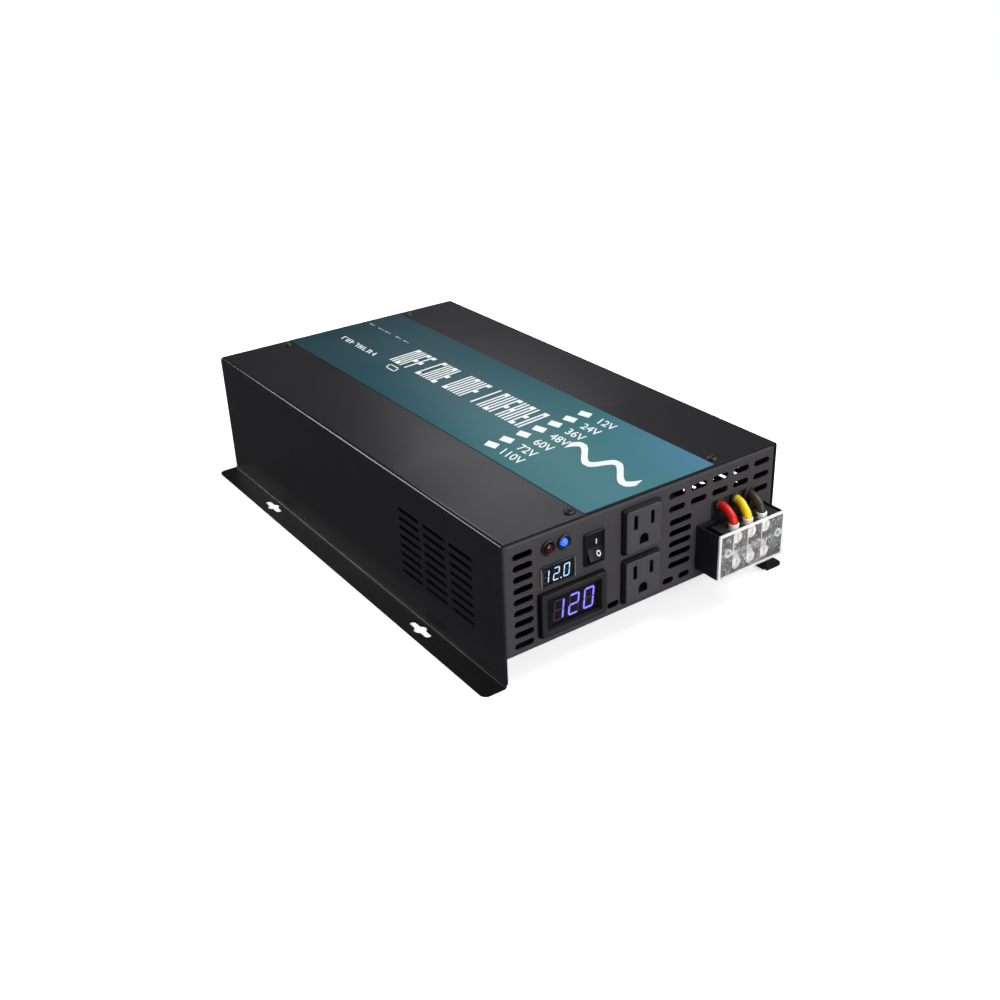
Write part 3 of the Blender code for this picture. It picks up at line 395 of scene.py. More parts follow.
def powder_coat(name, colour, lighter, roughness, sheen):
    """Sprayed polyester powder: sanded skin over faint waves, burnished where the sheet is folded, with
    painted shade darkening the feet.
    """
    paint = Finish(name, Specular_IOR_Level=sheen)
    grain, waves, cloud = paint.noise(0.45, 1.0), paint.noise(3), paint.noise(60, 4.0)
    speck = paint.noise(0.9, 2.0).above(0.62, 0.75)
    across, up = paint.along("X"), paint.along("Z")
    at_edge = abs(across).above(WALL - 3.4 * MM, WALL - 2.6 * MM)
    shoulder = at_edge * up.above(TOP_Z - 3.6 * MM, TOP_Z - 2.8 * MM)
    ankle = abs(abs(across) - WALL).above(2.2 * MM, 1.2 * MM) * up.above(4 * MM, 3 * MM)
    burnished = shoulder.math("MAXIMUM", ankle * 0.7)
    # painted shade: on the feet, beside the walls and low down, the colour is darkened towards near-black
    shaded = abs(across).above(WALL - 1 * MM, WALL) * up.above(3.5 * MM, 1.8 * MM)
    coat = paint.mix(cloud * 0.5 + speck * 0.25, colour, lighter)
    plain = 1 - burnished
    relief = (grain * plain, 0.02, 0.35, paint.bump(waves * plain, 0.03, 0.25))
    rough = roughness + 0.12 * cloud - 0.06 + 0.08 * grain - 0.2 * burnished
    return paint.dress(shaded * 0.85, coat, (0.0012, 0.0012, 0.0015), rough, relief)


case_paint = powder_coat("satin_black_powder", (0.0105, 0.01, 0.0125), (0.018, 0.017, 0.021), 0.33, 0.2)

top_flat = WALL - TOP_BEND
top_radius, foot_radius = TOP_BEND - SHEET / 2, FOOT_BEND + SHEET / 2
quarter = math.pi / 2
wall_start = top_flat + quarter * top_radius
foot_start = wall_start + TOP_Z - TOP_BEND - SHEET - FOOT_BEND
flange_start = foot_start + quarter * foot_radius
cover_bends = [(top_flat, -quarter, top_radius), (foot_start, quarter, foot_radius)]
reach = flange_start + TIP - WALL - FOOT_BEND
cover_length, cover_middle = cover_high.y - cover_low.y, (cover_low.y + cover_high.y) / 2
cover_outline = rounded(2 * reach, cover_length, FLANGE_CORNER, (0.0, cover_middle))


def keyhole(centre, length, width, round_width):
    """A slot with a round opening in its middle, which drops over a screw head."""
    meet = math.degrees(math.asin(width / round_width))
    straight = length / 2 - width / 2
    points = arc((0, straight), width / 2, 0, 180, 10)
    points += arc((0, 0), round_width / 2, 90 + meet, 270 - meet, 12)
    points += arc((0, -straight), width / 2, 180, 360, 10)
    points += arc((0, 0), round_width / 2, 270 + meet, 450 - meet, 12)
    return [(centre[0] + x, centre[1] + y) for x, y in points]


cover_holes = [circle(SCREW_HOLE, spot) for spot in screw_spots]
for side in (-1, 1):
    for y in (FRONT_Y + KEYHOLE_INSET, REAR_Y - KEYHOLE_INSET):
        at = (side * (flange_start + KEYHOLE_OUT - FOOT_BEND), y)
        cover_holes.append(keyhole(at, 22 * MM, 4.2 * MM, 8.4 * MM))
    for column in range(3):
        for row in range(8):
            along = wall_start + TOP_Z - TOP_BEND - (LOUVRE_TOP - LOUVRE_PITCH * row) * MM
            at = (side * along, FRONT_Y + (LOUVRE_FIRST + LOUVRE_STEP * column) * MM)
            cover_holes.append(rounded(LOUVRE_WIDE, LOUVRE_LONG, LOUVRE_WIDE / 2, at, 8))
cover = blank(cover_outline, cover_holes, SHEET)
score(cover, Vector((1, 0, 0)), cover_bends)
for vert in cover.verts:
    across, down = folded(abs(vert.co.x), vert.co.z, cover_bends)
    vert.co = (math.copysign(across, vert.co.x), vert.co.y, TOP_Z - SHEET / 2 + down)
piece("folded_cover", cover, "case", "case_paint", case_paint, ["cover"], 20)

# ------------------------------------------------------------------ end panels
# Each end is a sheet folded back along its top and sides, so that the cover screws to it. The
# front one is punched for the vents and devices, the rear one for the fans and the DC studs.
PANEL_BEND, PANEL_RETURN, RELIEF = 2.0 * MM, 14 * MM, 0.3 * MM
PANEL_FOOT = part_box("front_panel")[0].z
PANEL_HALF, _, PANEL_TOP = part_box("front_panel")[1]
SCREW_BACK = 8.3 * MM
VENT = 4.3
panel_radius = PANEL_BEND - SHEET / 2
side_at, top_at = PANEL_HALF - PANEL_BEND, PANEL_TOP - PANEL_BEND
panel_paint = powder_coat("satin_charcoal_powder", (0.047, 0.0445, 0.048), (0.06, 0.057, 0.062), 0.46, 0.32)


def make_panel(name, node, face_y, outwards, holes):
    """Punches and folds one end panel, with its face at face_y."""
    flap = quarter * panel_radius + PANEL_RETURN - PANEL_BEND
    inner = side_at - RELIEF
    half = [(side_at, PANEL_FOOT), (side_at + flap, PANEL_FOOT + SHEET), (side_at + flap, PANEL_TOP),
            (side_at, PANEL_TOP), (side_at, top_at), (inner, top_at), (inner, top_at + flap)]
    outline = half + [(-x, z) for x, z in reversed(half)]
    for spot in screw_spots:
        if (spot.y - face_y) * outwards < 0 and abs(spot.y - face_y) < 20 * MM:
            across_top = top_at + quarter * panel_radius + SCREW_BACK - PANEL_BEND
            holes.append(circle(SCREW_HOLE, (spot.x, across_top)))
    panel = blank(outline, holes, SHEET)
    score(panel, Vector((1, 0, 0)), [(side_at, -quarter, panel_radius)])
    score(panel, Vector((0, 1, 0)), [(top_at, -quarter, panel_radius)])
    for vert in panel.verts:
        x, z = vert.co.x, vert.co.y
        if abs(x) > side_at + 1e-7:
            across, depth = folded(abs(x), vert.co.z, [(side_at, -quarter, panel_radius)])
            x = math.copysign(across, x)
        else:
            z, depth = folded(z, vert.co.z, [(top_at, -quarter, panel_radius)])
        vert.co = (x, face_y + outwards * (depth - SHEET / 2), z)
    piece(name, panel, "case", "panel_paint", panel_paint, [node], 20)


def from_left(distance):
    """X of a point this many millimetres from the left wall."""
    return distance * MM - WALL


def vent(left, z, long):
    """A round-ended vent slot from its left end, its height and its length, in millimetres."""
    return rounded(long * MM, VENT * MM, VENT / 2 * MM, (from_left(left + long / 2), z * MM), 8)


front_holes = [vent(7.6, 83.4 - 7.25 * row, 13.5) for row in range(9)]
for column in range(5):
    for z in (84.0, 74.9, 65.4) if column == 4 else (84.0, 74.9):
        front_holes.append(vent(121.5 + 17.55 * column, z, 13.0))
front_holes += [vent(122.4, 65.6 - 7.4 * row, 17.8) for row in range(5)]
front_holes += [vent(left, 26.3, 8.9) for left in (74.6, 118.0, 131.1)]
led_spots = [face_spot(f"led_{name}") for name in ("red", "blue")]
front_holes += [circle(3.8 * MM, spot) for spot in led_spots]
for node, wide, tall in (
    ("dc_meter_body", 22.6, 12.0),
    ("ac_meter_body", 46.6, 27.6),
    ("switch_housing", 13.6, 19.8),
    ("outlet_upper", 27.1, 28.1),
    ("outlet_lower", 27.1, 28.1),
):
    front_holes.append(rounded(wide * MM, tall * MM, 1.0 * MM, face_spot(node)))
front_holes.append(rounded(34.1 * MM, 12.8 * MM, 1.5 * MM, (from_left(173.25), 63.0 * MM)))
make_panel("front_panel_sheet", "front_panel", FRONT_Y, -1, front_holes)

fan_spots = {side: centre_of(f"fan_{side}_frame") for side in ("left", "right")}
stud_spots = {name: centre_of(f"dc_{name}_insulator") for name in ("positive", "negative")}
earth_at = (0.0, REAR_Y, 34 * MM)
rear_holes = [circle(27.5 * MM, (spot.x, spot.z), 64) for spot in fan_spots.values()]
rear_holes += [circle(7.0 * MM, (spot.x, spot.z)) for spot in stud_spots.values()]
rear_holes.append(circle(2.9 * MM, (earth_at[0], earth_at[2])))
for spot in fan_spots.values():
    for x, z in ((-25, -25), (25, -25), (25, 25), (-25, 25)):
        rear_holes.append(circle(2.3 * MM, (spot.x + x * MM, spot.z + z * MM), 16))
make_panel("rear_panel_sheet", "rear_panel", REAR_Y, 1, rear_holes)

# ------------------------------------------------------------------ base
# A tray of the same sheet closes the underside and carries the board on four posts. It is
# painted with the cover, and its turned-down edges stay inside the walls.
def refinish(finish, *names):
    """Gives CAD nodes that stay as they are a better finish in their own slots."""
    for name in names:
        for slot in nodes[name].material_slots:
            slot.material = finish.material


refinish(case_paint, "base_plate")

# ------------------------------------------------------------------ cover screws
# Four M3 pan-head machine screws in dark nickel, with a cross recess, driven through the cover
# into the panels' top returns.
def metal(name, colour, roughness, streak=None, metallic=1.0):
    """Plated or bare metal: cloudy tarnish and fine tool marks, drawn out along streak."""
    plate = Finish(name, Metallic=metallic)
    cloud, marks = plate.noise(4, 3.0), plate.noise(0.5, 3.0, stretch=streak or (1, 1, 1))
    dull = tuple(0.62 * c for c in colour)
    rough = roughness + 0.12 * marks + 0.1 * cloud - 0.06
    return plate.dress(cloud.above(0.35, 0.8) * 0.6, colour, dull, rough, (marks, 0.01, 0.3))


def skin(bm, rings):
    """Faces between neighbouring rings of points; a ring of one point ends in a fan."""
    for lower, upper in zip(rings, rings[1:]):
        for i in range(max(len(lower), len(upper))):
            near = [lower[i - 1], lower[i]] if len(lower) > 1 else lower
            far = [upper[i], upper[i - 1]] if len(upper) > 1 else upper
            bm.faces.new(near + far)


def lathe(bm, profile, at, axis="Y", steps=48):
    """Turns a profile of (radius, way along the axis) points in millimetres about Y or Z."""
    across, up, along = Vector((1, 0, 0)), Vector((0, 0, 1)), Vector((0, 1, 0))
    if axis == "Z":
        up, along = along, up
    closed = profile[0] == profile[-1]
    rings = []
    for radius, way in profile[:-1] if closed else profile:
        centre = Vector(at) + way * MM * along
        turns = [2 * math.pi * step / steps for step in range(steps if radius else 1)]
        spokes = [math.cos(t) * across + math.sin(t) * up for t in turns]
        rings.append([bm.verts.new(centre + radius * MM * spoke) for spoke in spokes])
    skin(bm, rings + rings[:1] if closed else rings)
    return bm


def recessed_head(radius, rise, height_at, loops=14, steps=48):
    """A screw head in millimetres: a dished disc whose top follows height_at, over a straight rim."""
    bm = lathe(bmesh.new(), [(radius, 0.0), (radius, rise)], (0, 0, 0), "Z", steps)
    rings = []
    for loop in range(loops + 1):
        r = radius * (1 - loop / loops)
        turns = [2 * math.pi * step / steps for step in range(steps if loop < loops else 1)]
        flat = [(r * math.cos(t), r * math.sin(t)) for t in turns]
        rings.append([bm.verts.new((x * MM, y * MM, (rise + height_at(x, y, radius)) * MM)) for x, y in flat])
    skin(bm, rings)
    bm.verts.ensure_lookup_table()
    skin(bm, [bm.verts[:steps], [bm.verts.new((0, 0, 0))]])
    return merge(bm, 1e-6)


def cross_recess(x, y, radius):
    """Height over the rim of a domed head with a driver's cross sunk into it."""
    r = math.hypot(x, y) / radius
    dome = 0.26 * radius * math.sqrt(max(0.0, 1 - r * r))
    near = min(abs(x), abs(y)) / radius
    inside = max(0.0, 1 - near / 0.2) * max(0.0, 1 - (r / 0.72) ** 4)
    return dome - 0.34 * radius * min(1.0, 1.8 * inside)


def master(name, bm):
    """A shape that Geometry Nodes repeat; it isn't a piece itself."""
    bmesh.ops.recalc_face_normals(bm, faces=bm.faces)
    mesh = bpy.data.meshes.new(name)
    bm.to_mesh(mesh)
    bm.free()
    return bpy.data.objects.new(name, mesh)


class Repeater(Graph):
    """A Geometry Nodes tree with named inputs, which ends in Realize Instances and Set Material."""

    def __init__(self, name, **inputs):
        super().__init__(bpy.data.node_groups.new(name, "GeometryNodeTree"))
        self.tree.interface.new_socket("Geometry", in_out="OUTPUT", socket_type="NodeSocketGeometry")
        self.sockets = {}
        for label, kind in [*inputs.items(), ("Material", "Material")]:
            label = label.replace("_", " ")
            made = self.tree.interface.new_socket(label, in_out="INPUT", socket_type=f"NodeSocket{kind}")
            self.sockets[label] = made.identifier
        self.entry = self.tree.nodes.new("NodeGroupInput")

    def given(self, label):
        return Value(self, self.entry.outputs[label])

    def shape(self):
        return self.node("GeometryNodeObjectInfo", {}, self.given("Piece"), out="Geometry")

    def moved(self, geometry, **turned):
        """The geometry at the tree's Centre input."""
        return self.node("GeometryNodeTransform", {}, geometry, Translation=self.given("Centre"), **turned)

    def end(self, geometry):
        whole = self.node("GeometryNodeRealizeInstances", {}, geometry)
        painted = self.node("GeometryNodeSetMaterial", {}, whole, Material=self.given("Material"))
        last = self.tree.nodes.new("NodeGroupOutput")
        self.tree.links.new(painted.socket, last.inputs[0])

    def grow(self, finish, **values):
        """Runs the tree with these inputs and returns the result as a bmesh."""
        carrier = bpy.data.objects.new("carrier", bpy.data.meshes.new("carrier"))
        modifier = carrier.modifiers.new("repeat", "NODES")
        modifier.node_group = self.tree
        for label, value in [*values.items(), ("Material", finish.material)]:
            modifier[self.sockets[label.replace("_", " ")]] = value
        return plain_mesh(carrier)


fixings = Repeater("grid_of_fixings", Piece="Object", Columns="Int", Rows="Int", Width="Float",
                   Height="Float", Plane_Turn="Vector", Centre="Vector")
extent = {f"Size_{axis}": fixings.given(label) for axis, label in (("X", "Width"), ("Y", "Height"))}
extent |= {f"Vertices_{axis}": fixings.given(label) for axis, label in (("X", "Columns"), ("Y", "Rows"))}
spots = fixings.node("GeometryNodeMeshGrid", {}, **extent)
placed = fixings.node("GeometryNodeInstanceOnPoints", {}, spots, Instance=fixings.shape())
fixings.end(fixings.moved(placed, Rotation=fixings.given("Plane Turn")))

dark_nickel = metal("dark_nickel", (0.05, 0.049, 0.052), 0.3)
screw_low, screw_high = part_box("cover_screw_front_left")
screw_radius = (screw_high.x - screw_low.x) / 2
screws = fixings.grow(
    dark_nickel,
    Piece=master("cover_screw", recessed_head(screw_radius / MM, 0.35, cross_recess)),
    Columns=2,
    Rows=2,
    Width=screw_spots[1].x - screw_spots[0].x,
    Height=screw_spots[2].y - screw_spots[0].y,
    Plane_Turn=(0.0, 0.0, 0.0),
    Centre=(*(screw_spots[0] + screw_spots[3]) / 2, TOP_Z + 0.12 * MM),
)
piece("cover_screws", screws, "case", "bright_steel", dark_nickel, screw_nodes, 40)
for name, spot in zip(screw_nodes, screw_spots):
    inner, outer = (circle(screw_radius + margin * MM, spot) for margin in (-0.6, 0.7))
    ring = blank(outer, [inner], 0.1 * MM, 0.02 * MM, (0, 0, TOP_Z + 0.07 * MM))
    piece(name.replace("cover_screw", "screw_washer"), ring, "case", "bright_steel", dark_nickel)

# ------------------------------------------------------------------ label
# A printed polyester film runs the length of the top. It is teal, darker towards the rear and blue at the
# front right, and the white marks over it are a bar title, seven tick squares with their volts, and a wave
# sign.
label_low, label_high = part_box("top_label")
film = Finish("printed_film", Specular_IOR_Level=0.12)
way = (film.along("Y") - label_low.y) / (label_high.y - label_low.y)
ink = film.node("ShaderNodeValToRGB", {"stops": (
    (0.0, (0.046, 0.17, 0.205)),
    (0.18, (0.032, 0.146, 0.165)),
    (0.5, (0.018, 0.077, 0.099)),
    (1.0, (0.006, 0.024, 0.034)),
)}, way, out="Color")
bluer = film.along("X").above(0.0, 62 * MM) * (1 - way.above(0.0, 0.34))
ink = film.mix(bluer * 0.85, ink, (0.068, 0.19, 0.31))
gloss = 0.36 + 0.05 * film.noise(40) + 0.05 * film.noise(0.4)
film.dress(film.noise(90, 3.0) * 0.16, ink, (0.1, 0.2, 0.23), gloss, (film.noise(0.6), 0.01, 0.3))
label_middle = (label_low + label_high) / 2
sheet_outline = rounded(*(label_high - label_low).xy, 1.2 * MM, label_middle)
sheet = blank(sheet_outline, [], 0.25 * MM, 0.05 * MM, (0, 0, label_middle.z))
piece("printed_label", sheet, "case", "label_film", film, ["top_label"])

white_ink = Finish("white_ink", Specular_IOR_Level=0.4)
white_ink.dress(white_ink.noise(6, 4.0), (0.7, 0.74, 0.74), (0.86, 0.88, 0.88),
                0.42 + 0.12 * white_ink.noise(2), (white_ink.noise(0.5), 0.01, 0.3))
INK_Z = (label_high.z - 0.02 * MM, label_high.z + 0.04 * MM)


def oblong(x0, y0, x1, y1):
    return [(x0, y0), (x1, y0), (x1, y1), (x0, y1)]


def prism(bm, points, low, high, to_space):
    """A thin closed slab over an outline, placed by a function of (across, up, out)."""
    rings = [[bm.verts.new(to_space(x, y, out)) for x, y in points] for out in (low, high)]
    for ring in rings:
        bm.faces.new(ring)
    skin(bm, rings)


def on_label(u, depth, z):
    """A label point: its distance from the left wall and from the front panel, in millimetres."""
    return (from_left(u), FRONT_Y + depth * MM, z)


def lettered(start_u, start_depth, lean):
    """Maps reading coordinates to the label: reading runs to the front, capitals point right."""
    return lambda x, y, z: on_label(start_u + y, start_depth - x + lean * y, z)


def strokes_of(pattern, width, tall, thick):
    """Bars of one mark of the greeked title, none over another; the pattern says which are inked."""
    left, right = (thick if "l" in pattern else 0), (width - thick if "r" in pattern else width)
    bars = [oblong(0, 0, thick, tall)] if "l" in pattern else []
    if "r" in pattern:
        bars.append(oblong(width - thick, 0, width, tall))
    for key, low in (("b", 0.0), ("m", 0.42 * tall), ("t", 0.86 * tall)):
        if key in pattern:
            bars.append(oblong(left, low, right, low + 0.14 * tall))
    return bars


def greeked(bm, patterns, step, width, tall, thick, place):
    """A word of marks that only suggest letters."""
    for number, pattern in enumerate(patterns.split()):
        for bar in strokes_of(pattern, width, tall, thick):
            prism(bm, [(x + number * step, y) for x, y in bar], *INK_Z, place)


print_bm = bmesh.new()
for start, base, pitch, patterns in (
    (283.5, 97.2, 7.0, "lrt lrb ltm lmt"),
    (248.0, 97.7, 7.0, "ltb lr lrt lmb"),
    (212.5, 98.2, 7.1, "lrb lrt lr ltm"),
    (177.0, 98.7, 7.4, "l lrt lrb lmt lrm ltr lmb lrt"),
):
    greeked(print_bm, patterns, pitch, 5.2, 28.0, 1.7, lettered(base, start, 0.1))
greeked(print_bm, "lt lrb lm rt lrm lb lrt rm", 6.6, 4.6, 5.4, 1.5, lettered(91.5, 349, 0.5))
for start in (366.0, 352.0, 341.0, 325.0, 313.0):
    greeked(print_bm, "m lr t rb", 2.2, 1.6, 1.7, 0.5, lettered(126.2, start, 0.3))
TICK, TICK_DEPTH = ((2.0, 6.3), (4.2, -2.9), (-2.0, -6.3), (-4.2, 2.9)), 109.4
for centre in (145.5, 132.9, 120.5, 107.9, 95.2, 82.1, 70.4):
    prism(print_bm, [(centre + u, TICK_DEPTH + d) for u, d in TICK], *INK_Z, on_label)
FRAME_WIDE, FRAME_TALL = 13, 6.5
for bar in (
    oblong(0, 0, FRAME_WIDE, 1),
    oblong(0, FRAME_TALL - 1, FRAME_WIDE, FRAME_TALL),
    oblong(0, 0, 1.2, FRAME_TALL),
    oblong(FRAME_WIDE - 1.2, 0, FRAME_WIDE, FRAME_TALL),
):
    prism(print_bm, bar, *INK_Z, lettered(87.0, 272, 0.5))


def written(bm, text, size, place, swell):
    """Plain numerals, made a thin closed slab before they take their place."""
    line = bpy.data.curves.new("numerals", "FONT")
    line.body = text
    line.size = size
    line.align_x = "CENTER"
    line.resolution_u = 3
    line.extrude = 0.5
    line.offset = swell
    part = merge(plain_mesh(bpy.data.objects.new("numerals", line)), 1e-6)
    for vert in part.verts:
        out = INK_Z[0] + (vert.co.z + 0.5) * (INK_Z[1] - INK_Z[0])
        vert.co = place(vert.co.x, vert.co.y, out)
    mesh = bpy.data.meshes.new("numerals")
    part.to_mesh(mesh)
    bm.from_mesh(mesh)
    part.free()
    bpy.data.meshes.remove(mesh)


volts = {146.0: "12V", 133.0: "24V", 120.4: "36V", 107.8: "48V", 95.0: "60V", 82.3: "72V", 70.4: "110V"}
for u, text in volts.items():
    written(print_bm, text, 10.9, lettered(u - 3.7, 86.5, 0.4), 0.08)
WAVE_LONG, WAVE_MIDDLE, WAVE_RISE, WAVE_STEPS = 68, 8.5, 7.0, 72
wave = []
for edge in (1, -1):
    for step in range(0, WAVE_STEPS + 1)[::edge]:
        t = step / WAVE_STEPS
        swing = 4 * math.pi * t
        half_stroke = 2.5 + 1.5 * abs(math.cos(swing))
        wave.append((WAVE_LONG * t, WAVE_MIDDLE + WAVE_RISE * math.sin(swing) + edge * half_stroke))
prism(print_bm, wave, *INK_Z, lettered(98.2, 75.0, 0.4))
piece("label_print", print_bm, "case", "label_film", white_ink, sharp=0)

# ------------------------------------------------------------------ lamps
# Two 5 mm lamps in black snap-in holders report the state: red for a fault, which is dark here,
# and blue for power, which is lit. The lens is cast resin with a domed end.
BULB_RADIUS = 2.55


def moulded(name, colour, lighter, roughness, sheen=0.5):
    """Moulded plastic: spark-eroded texture and faint flow clouds, rubbed smoother in places."""
    resin = Finish(name, Specular_IOR_Level=sheen)
    cloud, spark = resin.noise(18, 3.0), resin.noise(0.35, 1.0)
    rough = roughness + 0.12 * cloud + 0.06 * spark - 0.08
    return resin.dress(cloud * 0.6 + spark * 0.3, colour, lighter, rough, (spark, 0.012, 0.35))


def plastic_with_painted_side_shade(name, painted_side_shade, face_colour, lighter, face_depth):
    """Moulded plastic, spark-textured on its front face, with painted shade on its side walls, which are dark
    and rougher.
    """
    resin = Finish(name, Specular_IOR_Level=0.2)
    cloud, spark = resin.noise(18, 3.0), resin.noise(0.35, 1.0)
    # painted shade: everything behind the front face takes the dark side colour
    front = (resin.along("Y") - FRONT_Y).above(face_depth + 0.25 * MM, face_depth)
    face = resin.mix(cloud * 0.6 + spark * 0.3, face_colour, lighter)
    rough = 0.62 - 0.22 * front + 0.08 * cloud + 0.06 * spark
    return resin.dress(front, painted_side_shade, face, rough, (spark, 0.012, 0.35))


black_plastic = moulded("moulded_black", (0.009, 0.0085, 0.01), (0.019, 0.018, 0.021), 0.36)
for name, (x, z) in zip(("red", "blue"), led_spots):
    at = (x, FRONT_Y, z)
    holder = lathe(bmesh.new(), [
        (3.5, 7.5), (3.5, -0.1), (4.6, -0.1), (4.7, -0.4), (4.65, -1.3), (4.45, -1.65), (4.15, -1.8),
        (3.85, -1.75), (3.55, -1.4), (3.05, -0.2), (2.85, 0.6), (2.82, 7.5), (3.5, 7.5),
    ], at)
    piece(f"lamp_holder_{name}", holder, "case", "black_plastic", black_plastic, [f"led_holder_{name}"], 50)
    resin = Finish(f"{name}_lens", Specular_IOR_Level=0.6, Coat_Weight=0.4)
    rough = 0.14 + 0.1 * resin.noise(1)
    if name == "blue":
        spread = resin.noise(1.6, 2.0)
        core = 1 - (resin.along("Y") - FRONT_Y + 1.9 * MM).above(0.0, 2.2 * MM)
        resin.dress(spread, (0.01, 0.05, 0.6), (0.03, 0.15, 0.9), rough)
        glow = resin.mix(core * 0.3 + spread * 0.25, (0.0, 0.03, 0.85), (0.12, 0.42, 1.0))
        resin.put("Emission Color", glow)
        resin.put("Emission Strength", 0.85)
    else:
        resin.dress(resin.noise(1.5, 2.0), (0.02, 0.0015, 0.002), (0.07, 0.003, 0.004), rough)
    dome = [(BULB_RADIUS * math.cos(t), -0.5 - 2.1 * math.sin(t)) for t in (0.3, 0.6, 0.9, 1.2, 1.4)]
    bulb = lathe(bmesh.new(), [(0.0, 6.8), (BULB_RADIUS, 6.8), (BULB_RADIUS, -0.5), *dome, (0.0, -2.6)], at)
    piece(f"lamp_{name}", bulb, "case", f"{name}_lens", resin, [f"led_{name}"], 50)

# ------------------------------------------------------------------ meters
# Two snap-in LED meters: a small one for the battery and a deep-bezelled one for the mains side.
# Each has a moulded frame, a smoked acrylic pane and seven-segment digits, lit in blue tones.
def shelled(bm, sections, at):
    """Joins outlines in X-Z of equal point count, each at its depth from the panel face."""
    rings = []
    for outline, depth in sections:
        rings.append([bm.verts.new((at[0] + x, FRONT_Y + depth, at[1] + z)) for x, z in outline])
    skin(bm, rings)
    return rings


def closed_ends(bm, rings):
    bm.faces.new(rings[0])
    bm.faces.new(rings[-1])
    return bm


def sections_of(steps):
    """Sections given as (width, height, corner, depth) in millimetres from back to front."""
    return [(rounded(w * MM, h * MM, r * MM), d * MM) for w, h, r, d in steps]


def framed_box(at, *steps):
    """A moulded frame or pane, closed at its first and last section."""
    bm = bmesh.new()
    return closed_ends(bm, shelled(bm, sections_of(steps), at))


smoked = Finish("smoked_acrylic", Specular_IOR_Level=0.5)
smoked.dress(smoked.noise(5), (0.004, 0.003, 0.006), (0.011, 0.007, 0.013), 0.1 + 0.1 * smoked.noise(3, 4.0))

DIGIT_SEGMENTS = {"0": "abcdef", "1": "bc", "2": "abged"}
SEGMENT_ENDS = {
    "a": ((0, 2), (1, 2)),
    "b": ((1, 1), (1, 2)),
    "c": ((1, 0), (1, 1)),
    "d": ((0, 0), (1, 0)),
    "e": ((0, 0), (0, 1)),
    "f": ((0, 1), (0, 2)),
    "g": ((0, 1), (1, 1)),
}
DIGIT_LEAN = 0.1


def segment(name, width, tall, thick, gap):
    """The six-cornered outline of one bar of a digit."""
    a, b = (Vector((x * width, y * tall / 2)) for x, y in SEGMENT_ENDS[name])
    run = (b - a).normalized()
    aside = Vector((-run.y, run.x)) * thick / 2
    a, b = a + run * gap, b - run * gap
    inner = run * thick / 2
    return [a, a + inner - aside, b - inner - aside, b, b - inner + aside, a + inner + aside]


def digits(text, at, width, tall, thick, pitch, depth):
    """Lit and unlit bars of a row of digits, as two bmeshes of thin closed slabs."""
    lit, unlit = bmesh.new(), bmesh.new()
    start = -(pitch * (len(text) - 1) + width) / 2
    for number, character in enumerate(text):
        for name in "abcdefg":
            points = [(p.x, p.y - tall / 2) for p in segment(name, width, tall, thick, 0.06 * thick)]
            leant = [(start + number * pitch + x + DIGIT_LEAN * z, z) for x, z in points]
            bars = lit if name in DIGIT_SEGMENTS[character] else unlit
            prism(bars, leant, depth * MM, (depth - 0.06) * MM,
                  lambda x, z, y: (at[0] + x * MM, FRONT_Y + y, at[1] + z * MM))
    return lit, unlit


def glowing(name, tone_of, dark, light, edge, core, strength, roughness):
    """A finish that glows unevenly between two colours over a dark ground."""
    glow = Finish(name, Roughness=roughness, Emission_Strength=strength)
    ground, shine = tone_of(glow)
    glow.put("Base Color", glow.mix(ground, dark, light))
    glow.put("Emission Color", glow.mix(shine, edge, core))
    return glow


def die_tones(glow):
    uneven = glow.noise(0.8, 2.0)
    return uneven, uneven.above(0.25, 0.75)


BAR_GROUND = ((0.02, 0.03, 0.06), (0.05, 0.06, 0.1))
dim_bars = Finish("unlit_segments")
dim_bars.dress(dim_bars.noise(0.7), (0.028, 0.018, 0.03), (0.045, 0.028, 0.045), 0.5)

dc_at = face_spot("dc_meter_body")
dc_frame = framed_box(
    dc_at, (22.0, 11.4, 0.5, 9.0), (22.0, 11.4, 0.5, -0.1), (23.6, 13.0, 1.0, -0.1),
    (24.0, 13.4, 1.2, -0.3), (24.0, 13.4, 1.2, -0.8), (23.5, 12.9, 1.0, -1.2),
    (21.8, 11.6, 0.5, -1.2), (21.6, 11.4, 0.4, -1.1), (21.6, 11.4, 0.4, -0.4),
)
piece("dc_meter_frame", dc_frame, "case", "black_plastic", black_plastic, ["dc_meter_body"], 50)
dc_pane = framed_box(dc_at, (21.4, 11.2, 0.4, -0.45), (21.4, 11.2, 0.4, -0.9), (21.0, 10.8, 0.3, -1.0))
piece("dc_meter_pane", dc_pane, "case", "smoked_window", smoked, ["dc_meter_window"], 50)
# painted highlight: thin clear-moulding bars on the sides of the meter frame are coloured pale to show as
# bright edge lines
clear_edge_highlight = Finish("clear_moulding", Specular_IOR_Level=0.8, Alpha=0.8)
clear_edge_highlight.dress(clear_edge_highlight.noise(3), (0.08, 0.075, 0.065), (0.55, 0.53, 0.49),
                 0.12 + 0.1 * clear_edge_highlight.noise(1.5))
for side, name in ((-1, "left"), (1, "right")):
    edge = bmesh.new()
    outline = rounded(0.4 * MM, 12.2 * MM, 0.18 * MM, (side * 11.8 * MM, 0.0))
    closed_ends(edge, shelled(edge, ((outline, -0.2 * MM), (outline, -1.5 * MM)), dc_at))
    piece(f"dc_meter_{name}_edge", edge, "case", "clear_plastic", clear_edge_highlight, sharp=50)
dc_lit, dc_unlit = digits("120", (dc_at[0] - 1.2 * MM, dc_at[1]), 3.7, 7.6, 0.72, 7.3, -1.02)
point = circle(0.5 * MM, (1.9 * MM, -3.8 * MM), 12)
prism(dc_lit, point, -1.02 * MM, -1.08 * MM, lambda x, z, y: (dc_at[0] + x, FRONT_Y + y, dc_at[1] + z))
pale_blue = (0.24, 0.62, 1.0), (0.62, 0.92, 1.0)
